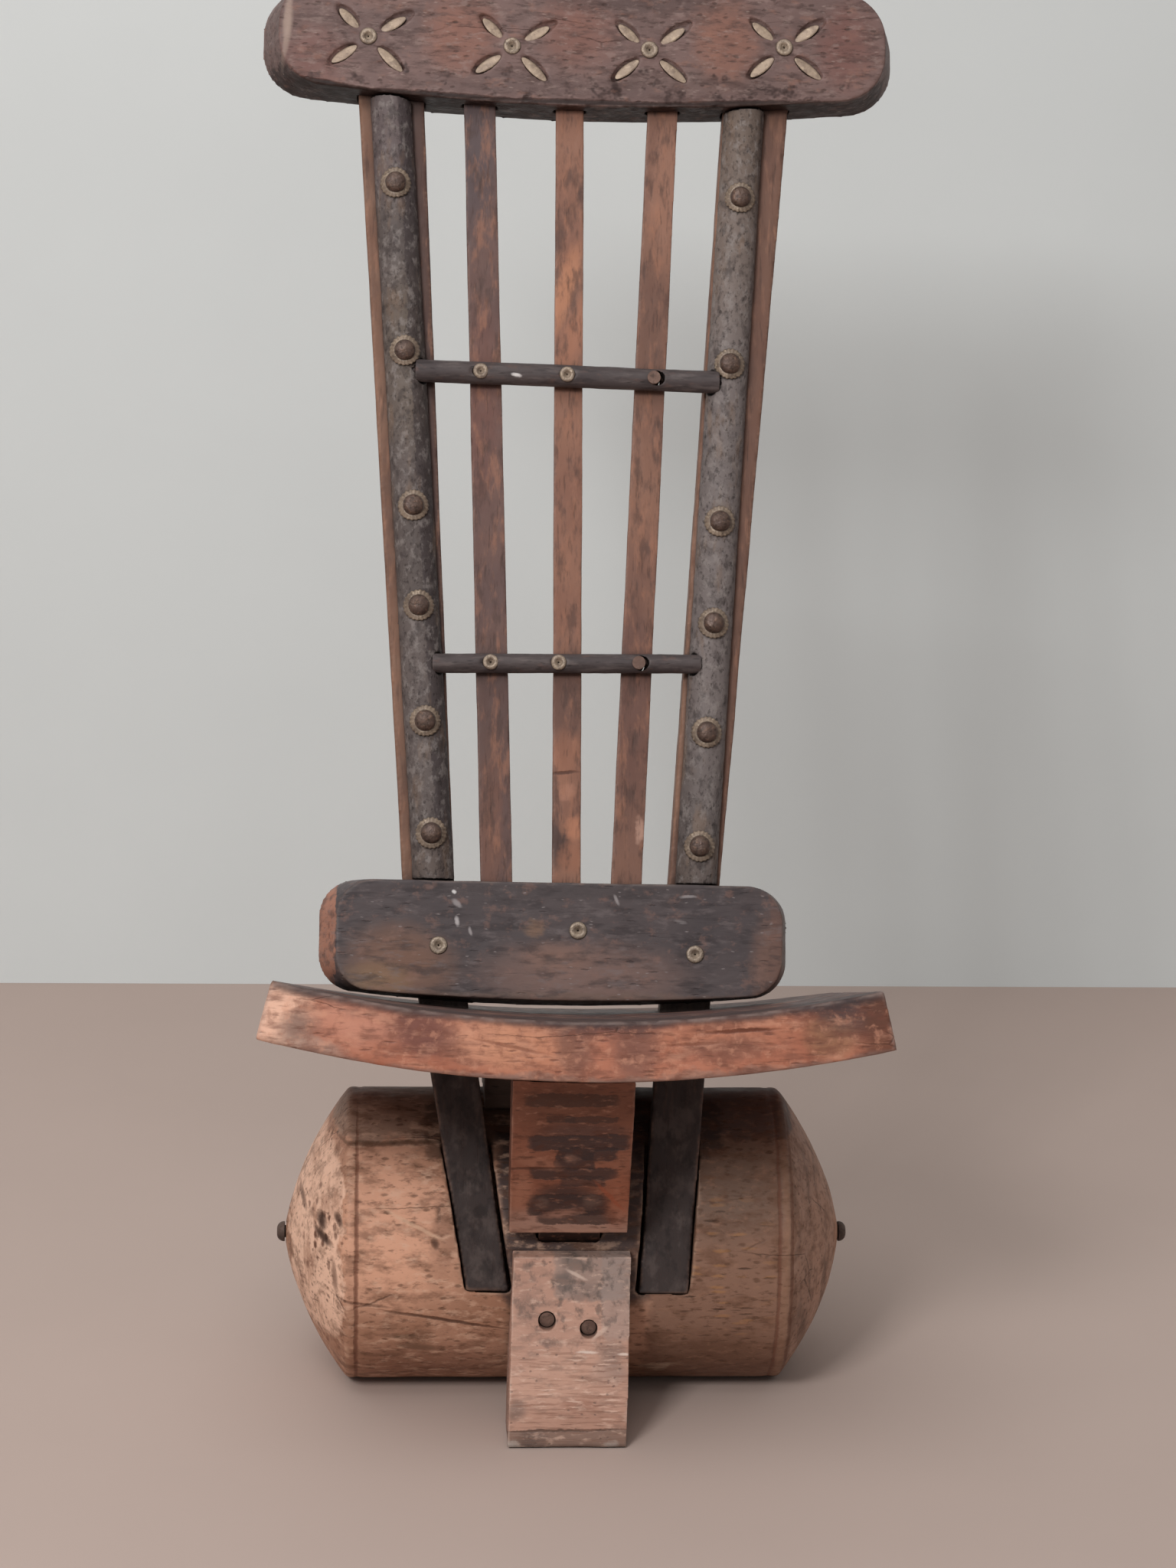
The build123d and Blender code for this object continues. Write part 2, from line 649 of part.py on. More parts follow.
slats = {}
for name in slat_names:
    with BuildPart() as slats[name]:
        with BuildSketch(back_plane.offset(slat_front)):
            Polygon(*slat_outline(name), align=None)
        extrude(amount=-slat_thickness)
        for bar in crossbar_stations:
            round_stock(back_plane.offset(slat_front), eyelet_spots(bar), eyelet_tube_radius + fit, slat_thickness,
                        Mode.SUBTRACT)
            round_stock(back_plane.offset(slat_front), plug_spots(bar), crossbar_plug_radius + fit, slat_thickness,
                        Mode.SUBTRACT)
        round_stock(back_plane.offset(slat_front), board_eyelet_spots, eyelet_tube_radius + fit, slat_thickness,
                    Mode.SUBTRACT)
        round_stock(back_plane.offset(slat_front), tack_spots, tack_radius + fit, slat_thickness, Mode.SUBTRACT)

crossbars = {}
for bar in crossbar_stations:
    with BuildPart() as crossbars[bar]:
        crossbar_ends(bar, 0, Mode.ADD)
        with BuildSketch(back_plane.offset(slat_front)):
            with Locations((0, sum(crossbar_stations[bar]) / 2)):
                Rectangle(2 * strip_x("left", strip_high_station), 4 * crossbar_radius[bar])
        extrude(amount=-2 * crossbar_flat, mode=Mode.SUBTRACT)
        seat_level = crossbar_front[bar] - crossbar_seat_depth
        round_stock(back_plane.offset(crossbar_front[bar]), eyelet_spots(bar), crossbar_eyelet_radius + fit,
                    crossbar_seat_depth, Mode.SUBTRACT)
        round_stock(back_plane.offset(seat_level), eyelet_spots(bar), eyelet_tube_radius + fit,
                    seat_level - slat_front, Mode.SUBTRACT)
        round_stock(back_plane.offset(crossbar_front[bar]), plug_spots(bar), crossbar_plug_radius + fit,
                    crossbar_front[bar] - slat_front, Mode.SUBTRACT)

with BuildPart() as crossbar_eyelets:
    for bar in crossbar_stations:
        eyelet(eyelet_spots(bar), crossbar_front[bar] - crossbar_seat_depth, slat_back, crossbar_eyelet_radius)

with BuildPart() as crossbar_plugs:
    for bar in crossbar_stations:
        front = crossbar_front[bar] + crossbar_plug_proud
        round_stock(back_plane.offset(front), plug_spots(bar), crossbar_plug_radius, front - slat_back)

with BuildPart() as lumbar_board:
    add(board_blank.part)
    fillet(lumbar_board.faces().sort_by(to_sitter)[-1].edges(), radius=board_edge_rounding)
    cut_slat_slots(fit)
    round_stock(back_plane.offset(board_thickness), board_eyelet_spots, eyelet_tube_radius + fit, board_thickness,
                Mode.SUBTRACT)
    round_stock(back_plane.offset(slat_back + tack_length + fit), tack_spots, tack_radius + fit, tack_length,
                Mode.SUBTRACT)

with BuildPart() as board_eyelets:
    eyelet(board_eyelet_spots[::2], board_thickness, -stile_thickness, board_eyelet_radius)
    eyelet(board_eyelet_spots[1:2], board_thickness, slat_back, board_eyelet_radius)

with BuildPart() as slat_tacks:
    round_stock(back_plane.offset(slat_back + tack_length), tack_spots, tack_radius, tack_length)
    round_stock(back_plane.offset(slat_back), tack_spots, tack_head_radius, tack_head_thickness)

with BuildPart() as crest_rail:
    add(crest_blank.part)
    fillet(crest_rail.faces().sort_by(to_sitter)[-1].edges(), radius=crest_edge_rounding)
    cut_stile_slots(fit, -stile_thickness - fit, fit)
    cut_slat_slots(fit)
    round_stock(back_plane.offset(crest_peg_end + fit), crest_peg_spots, crest_peg_radius + fit,
                crest_peg_end - crest_rear + fit, Mode.SUBTRACT)
    with BuildSketch(back_plane.offset(crest_front)):
        with Locations(*flower_spots):
            Circle(flower_ring_outer)
            Circle(flower_ring_inner, mode=Mode.SUBTRACT)
    extrude(amount=-flower_ring_depth, mode=Mode.SUBTRACT)
    petal_leaves(petal_recess, 0, petal_recess, Mode.SUBTRACT)
    round_stock(back_plane.offset(crest_front), flower_spots, eyelet_tube_radius + fit, flower_eyelet_hold + fit,
                Mode.SUBTRACT)

with BuildPart() as crest_pegs:
    round_stock(back_plane.offset(crest_peg_end), crest_peg_spots, crest_peg_radius, crest_peg_end - crest_rear)

with BuildPart() as flower_inlays:
    petal_leaves(petal_recess, inlay_gap, inlay_thickness, Mode.ADD)

with BuildPart() as flower_eyelets:
    round_stock(back_plane.offset(crest_front + eyelet_flange), flower_spots, flower_eyelet_radius, eyelet_flange)
    round_stock(back_plane.offset(crest_front), flower_spots, eyelet_tube_radius, flower_eyelet_hold)
    round_stock(back_plane.offset(crest_front + eyelet_flange), flower_spots, eyelet_bore_radius,
                flower_eyelet_hold / 2, Mode.SUBTRACT)

pieces = {
    "drum": drum,
    "front_foot": front_foot,
    "foot_pegs": foot_pegs,
    "seat_brace": seat_brace,
    "saddle_block": saddle_block,
    "saddle_pegs": saddle_pegs,
    "seat": seat,
    "tail_dowels": tail_dowels,
    "crossbar_eyelets": crossbar_eyelets,
    "crossbar_plugs": crossbar_plugs,
    "lumbar_board": lumbar_board,
    "board_eyelets": board_eyelets,
    "slat_tacks": slat_tacks,
    "crest_rail": crest_rail,
    "crest_pegs": crest_pegs,
    "flower_inlays": flower_inlays,
    "flower_eyelets": flower_eyelets,
}
families = {
    "drum_knob": drum_knobs,
    "stile": stiles,
    "cover_strip": cover_strips,
    "dome_nails": dome_nails,
    "nail_washers": nail_washers,
    "slat": slats,
    "crossbar": crossbars,
}
for family, members in families.items():
    for member, piece in members.items():
        pieces[f"{family}_{member}"] = piece

os.makedirs("parts", exist_ok=True)
for name, piece in pieces.items():
    piece.part.label = name
    export_step(piece.part, f"parts/{name}.step")
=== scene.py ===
import json
import math

import bpy
from mathutils import Matrix, Vector

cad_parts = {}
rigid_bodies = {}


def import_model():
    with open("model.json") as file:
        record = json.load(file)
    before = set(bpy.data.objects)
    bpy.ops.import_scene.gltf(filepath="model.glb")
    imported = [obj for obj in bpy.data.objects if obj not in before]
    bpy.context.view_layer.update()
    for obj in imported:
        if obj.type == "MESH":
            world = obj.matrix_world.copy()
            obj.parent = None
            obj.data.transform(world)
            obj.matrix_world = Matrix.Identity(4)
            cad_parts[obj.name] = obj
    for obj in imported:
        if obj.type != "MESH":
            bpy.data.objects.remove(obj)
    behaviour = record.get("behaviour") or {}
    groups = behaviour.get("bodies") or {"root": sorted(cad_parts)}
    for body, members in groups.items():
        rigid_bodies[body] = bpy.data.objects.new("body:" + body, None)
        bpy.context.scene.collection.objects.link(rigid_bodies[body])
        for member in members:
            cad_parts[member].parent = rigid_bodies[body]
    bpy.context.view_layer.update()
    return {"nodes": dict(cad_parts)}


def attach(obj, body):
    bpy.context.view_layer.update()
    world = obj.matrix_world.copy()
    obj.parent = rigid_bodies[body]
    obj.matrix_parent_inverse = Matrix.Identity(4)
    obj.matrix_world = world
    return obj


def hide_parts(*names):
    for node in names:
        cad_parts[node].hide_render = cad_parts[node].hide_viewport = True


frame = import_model()
nodes = frame["nodes"]
scene = bpy.context.scene
scene.view_settings.view_transform = "Standard"
print("frame loaded:", len(nodes), "nodes")

cameraValues = {
    "place": (-0.11707, -2.1463, 0.930),  # metres
    "yaw": 3.4,  # degrees to the right of straight ahead
    "pitch": 14.08,  # downwards
    "roll": 1.24,
    "focalPixels": 4560,
    "imageHeight": 2048,
}


def addCamera(v):
    yaw, pitch, roll = (math.radians(v[key]) for key in ("yaw", "pitch", "roll"))
    forward = Vector((math.sin(yaw) * math.cos(pitch), math.cos(yaw) * math.cos(pitch), -math.sin(pitch)))
    level = Vector((math.cos(yaw), -math.sin(yaw), 0))
    up = level.cross(forward)
    right = level * math.cos(roll) + up * math.sin(roll)
    top = up * math.cos(roll) - level * math.sin(roll)
    data = bpy.data.cameras.new("camera")
    data.sensor_width = 36
    data.lens = v["focalPixels"] * data.sensor_width / v["imageHeight"]
    data.clip_end = 50
    camera = bpy.data.objects.new("camera", data)
    scene.collection.objects.link(camera)
    turn = Matrix((right, top, -forward)).transposed().to_4x4()
    camera.matrix_world = Matrix.Translation(v["place"]) @ turn
    scene.camera = camera


addCamera(cameraValues)
print("camera placed")


# Frames that shapes and patterns are measured in, in mm: X to the right, Y up the face, Z out of it
def slopeFrame(origin, angle, lean=0):
    facing = Vector((0, -math.cos(math.radians(angle)), math.sin(math.radians(angle))))
    across = Matrix.Rotation(-math.radians(lean), 3, facing) @ Vector((1, 0, 0))
    turn = Matrix((across, facing.cross(across), facing)).transposed()
    return {"origin": Vector(origin), "turn": turn}


logFrame = slopeFrame((0, 0, 88.3), 0)
footFrame = slopeFrame((-0.8, -148, 12), 23.2)
braceFrame = slopeFrame((-0.8, -105, 127.5), -28.2)
seatFrame = slopeFrame((-3, -185, 293.2), 16, 0.8)
backFrame = slopeFrame((-6.5, -34.7, 250.2), 20, 0.8)


def inRoom(place, where):
    return (place["origin"] + place["turn"] @ Vector(where)) / 1000


def inFrame(place, point):
    return place["turn"].transposed() @ (point * 1000 - place["origin"])


def pick(*pieces):
    bpy.ops.object.select_all(action="DESELECT")
    for piece in pieces:
        piece.select_set(True)
    bpy.context.view_layer.objects.active = pieces[0] if pieces else None


def editAll():
    bpy.ops.object.mode_set(mode="EDIT")
    bpy.ops.mesh.select_all(action="SELECT")


def leaveEdit():
    bpy.ops.object.mode_set(mode="OBJECT")


def finishWith(piece, kind, **settings):
    pick(piece)
    modifier = piece.modifiers.new(kind.lower(), kind)
    for key, value in settings.items():
        setattr(modifier, key, value)
    bpy.ops.object.modifier_apply(modifier=modifier.name)


mergeReach = 0.00001  # metres between points that are one


# A loose copy of a node with its triangles merged
def mergedCopy(name, nodeName):
    pick(nodes[nodeName])
    bpy.ops.object.duplicate()
    piece = bpy.context.active_object
    piece.name = name
    piece.data.name = name
    bpy.ops.object.parent_clear(type="CLEAR_KEEP_TRANSFORM")
    for key in list(piece.keys()):
        del piece[key]
    piece.data.materials.clear()
    editAll()
    bpy.ops.mesh.remove_doubles(threshold=mergeReach)
    leaveEdit()
    return piece


# A copy closed up by a voxel remesh, softened, and hewn uneven by inward relief along its grain
def wornCopy(name, nodeName, v):
    piece = mergedCopy(name, nodeName)
    if "longer" in v:
        middle = sum((vertex.co for vertex in piece.data.vertices), Vector()) / len(piece.data.vertices)
        editAll()
        bpy.ops.transform.resize(value=(v["longer"], 1, 1), center_override=middle)
        leaveEdit()
    finishWith(piece, "REMESH", mode="VOXEL", voxel_size=v["voxel"] / 1000, use_smooth_shade=True)
    if "swell" in v:
        finishWith(piece, "DISPLACE", strength=v["swell"] / 1000, mid_level=0)
    finishWith(piece, "SMOOTH", factor=0.5, iterations=v["smoothing"])
    for kind, size, depth in v["relief"]:
        carve(piece, v["frame"], kind, size, depth)
    return piece


# Sinks the surface by a texture whose spots are so many millimetres along the frame's axes
def carve(piece, place, kind, size, depth):
    guide = bpy.data.objects.new("guide", None)
    scene.collection.objects.link(guide)
    scale = Matrix.Diagonal((size[0] / 1000, size[1] / 1000, size[2] / 1000, 1))
    guide.matrix_world = Matrix.Translation(inRoom(place, (0, 0, 0))) @ place["turn"].to_4x4() @ scale
    bpy.context.view_layer.update()
    texture = bpy.data.textures.new("relief", kind)
    texture.noise_scale = 1
    if kind == "CLOUDS":
        texture.noise_depth = 2
    finishWith(piece, "DISPLACE", texture=texture, texture_coords="OBJECT", texture_coords_object=guide,
               strength=depth / 1000, mid_level=1)
    bpy.data.objects.remove(guide)
    bpy.data.textures.remove(texture)


def linear(hexColour):
    shares = [int(hexColour[i:i + 2], 16) / 255 for i in (1, 3, 5)]
    return tuple(s / 12.92 if s <= 0.04045 else ((s + 0.055) / 1.055) ** 2.4 for s in shares) + (1,)


def addNode(tree, kind, settings=None, values=None, links=None):
    node = tree.nodes.new("ShaderNode" + kind)
    for key, value in (settings or {}).items():
        setattr(node, key, value)
    for key, value in (values or {}).items():
        node.inputs[key].default_value = value
    for key, source in (links or {}).items():
        tree.links.new(source, node.inputs[key])
    return node


def bareMaterial(name):
    material = bpy.data.materials.new(name)
    material.use_nodes = True
    material.node_tree.nodes.clear()
    return material, material.node_tree


# Settings that many nodes share
product = {"operation": "MULTIPLY"}
smoothly = {"interpolation_type": "SMOOTHSTEP"}


# The place, moved about by noise, so that drawn shapes get uneven edges
def drifted(tree, place, size, reach):
    cloud = addNode(tree, "TexNoise", None, {"Scale": 1 / size, "Detail": 3, "Roughness": 0.7},
                    {"Vector": place}).outputs["Color"]
    shift = addNode(tree, "VectorMath", {"operation": "MULTIPLY_ADD"},
                    {1: (reach,) * 3, 2: (-reach / 2,) * 3}, {0: cloud}).outputs[0]
    return addNode(tree, "VectorMath", {"operation": "ADD"}, None, {0: place, 1: shift}).outputs[0]


# Puts a place in units of a layer's spot size, stepped on for each layer so that no two of them coincide
def layerValues(count, step, size):
    return {"Location": [count * s for s in step], "Scale": [1 / s for s in size]}


# Up in clouds of a given size, where their noise rises from the low value to the high one
def cloudMask(tree, place, size, detail, low, high, amount=1, roughness=0.5):
    cloud = addNode(tree, "TexNoise", None, {"Scale": 1 / size, "Detail": detail, "Roughness": roughness},
                    {"Vector": place}).outputs[0]
    return addNode(tree, "MapRange", smoothly, {1: low, 2: high, 4: amount}, {0: cloud}).outputs[0]


# Lays a colour over another where a mask is up, and adds the mask to the bump's height, in millimetres
def layOver(tree, look, mask, colour, height=0):
    look["colour"] = addNode(tree, "Mix", {"data_type": "RGBA"}, {7: linear(colour)},
                             {0: mask, 6: look["colour"]}).outputs[2]
    if height:
        look["height"] = addNode(tree, "Math", {"operation": "MULTIPLY_ADD"}, {1: height},
                                 {0: mask, 2: look["height"]}).outputs[0]


# How far from its middle a spot fades out, and where it is full, as a squared share of its radii
spotEdges = {"square": (1.5, 0.4), "round": (1.9, 0)}


# Up inside a round or square spot of the given radii, turned about the frame's Z
def spotMask(tree, place, centre, radii, turn, square, amount):
    away = addNode(tree, "Mapping", {"vector_type": "TEXTURE"},
                   {"Location": centre, "Rotation": (0, 0, math.radians(turn)), "Scale": radii},
                   {"Vector": place}).outputs[0]
    for count in range(2 if square else 0):
        away = addNode(tree, "VectorMath", product, None, {0: away, 1: away}).outputs[0]
    total = addNode(tree, "VectorMath", {"operation": "DOT_PRODUCT"}, None,
                    {0: away, 1: away}).outputs["Value"]
    edge, full = spotEdges["square" if square else "round"]
    return addNode(tree, "MapRange", smoothly, {1: edge, 2: full, 4: amount}, {0: total}).outputs[0]


# Keeps a mask to the region that its row names, if it names one
def keptTo(tree, mask, place, region):
    for centre, radii in region:
        within = spotMask(tree, place, centre, radii, 0, False, 1)
        mask = addNode(tree, "Math", product, None, {0: mask, 1: within}).outputs[0]
    return mask


# Stains, worn places and painted shade, each listed, and turned, square or sunk only where a row's last
# numbers say so.
# A middle and radii in X and Y alone take their Z from "face"
def layPatches(tree, look, wandering, v):
    for colour, centre, radii, amount, *rest in v.get("patches", []):
        turn, square, height = *rest, *(0, False, 0)[len(rest):]
        if len(centre) == 2:
            centre, radii = (*centre, v["face"][0]), (*radii, v["face"][1])
        layOver(tree, look, spotMask(tree, wandering, centre, radii, turn, square, amount), colour, height)


# Mottling and fibres from noise stretched to a size along X, Y and Z
def layTones(tree, look, local, wandering, v):
    for count, (colour, size, low, high, amount, height, *region) in enumerate(v.get("tones", [])):
        place = addNode(tree, "Mapping", None, layerValues(count, (13.7, 7.3, 3.1), size),
                        {"Vector": local}).outputs[0]
        mask = cloudMask(tree, place, 1, 4, low, high, amount, 0.62)
        layOver(tree, look, keptTo(tree, mask, wandering, region), colour, height)


# Short strokes, in some of the cells that the frame is divided into
def layDashes(tree, look, nearly, wandering, v):
    for count, (colour, size, reach, share, amount, height, *region) in enumerate(v.get("dashes", [])):
        place = addNode(tree, "Mapping", None, layerValues(count, (5.1, 9.7, 2.3), size),
                        {"Vector": nearly}).outputs[0]
        cells = addNode(tree, "TexVoronoi", None, {"Scale": 1}, {"Vector": place}).outputs
        near = addNode(tree, "MapRange", smoothly, {1: reach, 2: reach * 0.4, 4: amount},
                       {0: cells["Distance"]}).outputs[0]
        chosen = addNode(tree, "SeparateColor", None, None, {0: cells["Color"]}).outputs[0]
        few = addNode(tree, "Math", {"operation": "LESS_THAN"}, {1: share}, {0: chosen}).outputs[0]
        mask = addNode(tree, "Math", product, None, {0: near, 1: few}).outputs[0]
        layOver(tree, look, keptTo(tree, mask, wandering, region), colour, height)


# Thin lines along the cells' edges, where the noise lets them show
def layCracks(tree, look, nearly, v):
    for colour, size, width, low, high, amount, height in v.get("cracks", []):
        place = addNode(tree, "Mapping", None, {"Scale": [1 / s for s in size]},
                        {"Vector": nearly}).outputs[0]
        edge = addNode(tree, "TexVoronoi", {"feature": "DISTANCE_TO_EDGE"}, {"Scale": 1},
                       {"Vector": place}).outputs["Distance"]
        line = addNode(tree, "MapRange", smoothly, {1: width, 2: 0, 4: amount}, {0: edge}).outputs[0]
        some = cloudMask(tree, place, 1.25, 1, low, high)
        mask = addNode(tree, "Math", product, None, {0: line, 1: some}).outputs[0]
        layOver(tree, look, mask, colour, height)


# Scribed lines and scratches in the frame's X and Y, each listed
def layLines(tree, look, nearly, v):
    for colour, start, end, width, amount, height in v.get("lines", []):
        run = Vector(end) - Vector(start)
        centre = (*(Vector(start) + Vector(end)) / 2, v.get("lineDepth", 0))
        turn = math.degrees(math.atan2(run.y, run.x))
        mask = spotMask(tree, nearly, centre, (run.length / 2, width, 60), turn, False, amount)
        layOver(tree, look, mask, colour, height)


# Rubbed where the surface stands out, and darker in its corners and gaps: dirt together with painted shade
def layWear(tree, look, local, v):
    if "worn" in v:
        colour, low, high, amount = v["worn"]
        point = addNode(tree, "NewGeometry").outputs["Pointiness"]
        ridge = addNode(tree, "MapRange", smoothly, {1: low, 2: high}, {0: point}).outputs[0]
        some = cloudMask(tree, local, 14, 3, 0.35, 0.6, amount)
        mask = addNode(tree, "Math", product, None, {0: ridge, 1: some}).outputs[0]
        layOver(tree, look, mask, colour)
    if "cornerDirtAndShade" in v:
        colour, reach, amount = v["cornerDirtAndShade"]
        # ambient occlusion darkens corners and the gaps between parts: partly dirt, partly painted shade
        sky = addNode(tree, "AmbientOcclusion", {"samples": 4}, {"Distance": reach / 1000}).outputs["AO"]
        mask = addNode(tree, "MapRange", smoothly, {1: 0.85, 2: 0.25, 4: amount}, {0: sky}).outputs[0]
        layOver(tree, look, mask, colour)


# Everything a surface shows, from one dictionary, whose rows hold what the functions above read them as
def surface(name, v):
    material, tree = bareMaterial(name)
    metres = addNode(tree, "TexCoord").outputs["Object"]
    large = addNode(tree, "VectorMath", {"operation": "SCALE"}, {"Scale": 1000}, {0: metres}).outputs[0]
    local = addNode(tree, "Mapping", {"vector_type": "TEXTURE"},
                    {"Location": v["frame"]["origin"], "Rotation": v["frame"]["turn"].to_euler()},
                    {"Vector": large}).outputs[0]
    wandering = drifted(tree, local, v.get("driftSize", 16), v.get("drift", 14))
    nearly = drifted(tree, local, 9, 2.4)
    base = addNode(tree, "TexNoise", None, {"Scale": 1 / v.get("baseSize", 60), "Detail": 3},
                   {"Vector": local}).outputs[0]
    share = addNode(tree, "MapRange", smoothly, {1: 0.35, 2: 0.65}, {0: base}).outputs[0]
    look = {"height": addNode(tree, "Math", product, None, {0: base, 1: base}).outputs[0]}
    look["colour"] = addNode(tree, "Mix", {"data_type": "RGBA"},
                             {6: linear(v["base"][0]), 7: linear(v["base"][1])}, {0: share}).outputs[2]
    layPatches(tree, look, wandering, v)
    layTones(tree, look, local, wandering, v)
    layDashes(tree, look, nearly, wandering, v)
    layCracks(tree, look, nearly, v)
    layLines(tree, look, nearly, v)
    layWear(tree, look, local, v)
    shine = addNode(tree, "TexNoise", None, {"Scale": 1 / 9, "Detail": 4}, {"Vector": local}).outputs[0]
    rough = addNode(tree, "MapRange", None, {1: 0.3, 2: 0.7, 3: v["rough"][0], 4: v["rough"][1]}, {0: shine})
    bump = addNode(tree, "Bump", None, {"Strength": 1, "Distance": 0.001}, {"Height": look["height"]})
    shader = addNode(tree, "BsdfPrincipled", None, v.get("shader", {"Specular IOR Level": 0.22}),
                     {"Base Color": look["colour"], "Roughness": rough.outputs[0], "Normal": bump.outputs[0]})
    addNode(tree, "OutputMaterial", None, None, {"Surface": shader.outputs[0]})
    return material


def dress(piece, material, nodeName):
    piece.data.materials.clear()
    piece.data.materials.append(material)
    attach(piece, "root")
    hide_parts(nodeName)


def dressedCopy(name, nodeName, materialName, v):
    dress(wornCopy(name, nodeName, v), surface(materialName, v), nodeName)


def dressNode(nodeName, material):
    for slot in nodes[nodeName].material_slots:
        slot.link = "OBJECT"
        slot.material = material


# Where each loose solid of a node is: the middle, the highest and lowest, and all its points
def solidsOf(nodeName, place):
    pieces = []
    mergedCopy("measured", nodeName)
    editAll()
    bpy.ops.mesh.separate(type="LOOSE")
    leaveEdit()
    for part in list(bpy.context.selected_objects):
        points = [inFrame(place, vertex.co) for vertex in part.data.vertices]
        low = [min(point[i] for point in points) for i in range(3)]
        high = [max(point[i] for point in points) for i in range(3)]
        pieces.append({"x": (low[0] + high[0]) / 2, "y": (low[1] + high[1]) / 2,
                       "low": low[2], "high": high[2], "points": points})
        bpy.data.objects.remove(part)
    return sorted(pieces, key=lambda piece: (piece["y"], piece["x"]))


# Turned metal: a ring of points taken from one radius and height to the next, in millimetres
def turned(name, profile, sides):
    pick()
    radius, height = profile[0]
    bpy.ops.mesh.primitive_circle_add(vertices=sides, radius=radius / 1000, location=(0, 0, height / 1000))
    piece = bpy.context.active_object
    piece.name = name
    bpy.ops.object.transform_apply(location=True)
    editAll()
    for nextRadius, nextHeight in profile[1:]:
        bpy.ops.mesh.extrude_edges_move()
        bpy.ops.transform.translate(value=(0, 0, (nextHeight - height) / 1000))
        if nextRadius:
            bpy.ops.transform.resize(value=(nextRadius / radius, nextRadius / radius, 1))
        else:
            bpy.ops.mesh.merge(type="CENTER")
        radius, height = nextRadius, nextHeight
    bpy.ops.mesh.select_all(action="SELECT")
    bpy.ops.mesh.remove_doubles(threshold=mergeReach)
    bpy.ops.mesh.normals_make_consistent(inside=False)
    leaveEdit()
    bpy.ops.object.shade_smooth()
    return piece


# Copies of a piece modelled about its own middle, set at (x, y, z) in a frame, turned, and joined
def setOut(name, model, place, spots):
    copies = []
    for spot in spots:
        pick(model)
        bpy.ops.object.duplicate()
        copy = bpy.context.active_object
        turn = Matrix.Rotation(math.radians(spot["turn"]), 4, "Z")
        turn = turn @ Matrix.Rotation(math.radians(spot.get("tilt", 0)), 4, "X")
        size = Matrix.Diagonal((spot.get("along", 1), spot.get("across", 1), 1, 1))
        where = Matrix.Translation(inRoom(place, (spot["x"], spot["y"], spot["z"])))
        copy.data.transform(where @ place["turn"].to_4x4() @ turn @ size)
        copies.append(copy)
    pick(*copies)
    bpy.ops.object.join()
    joined = bpy.context.active_object
    joined.name = name
    joined.data.name = name
    return joined
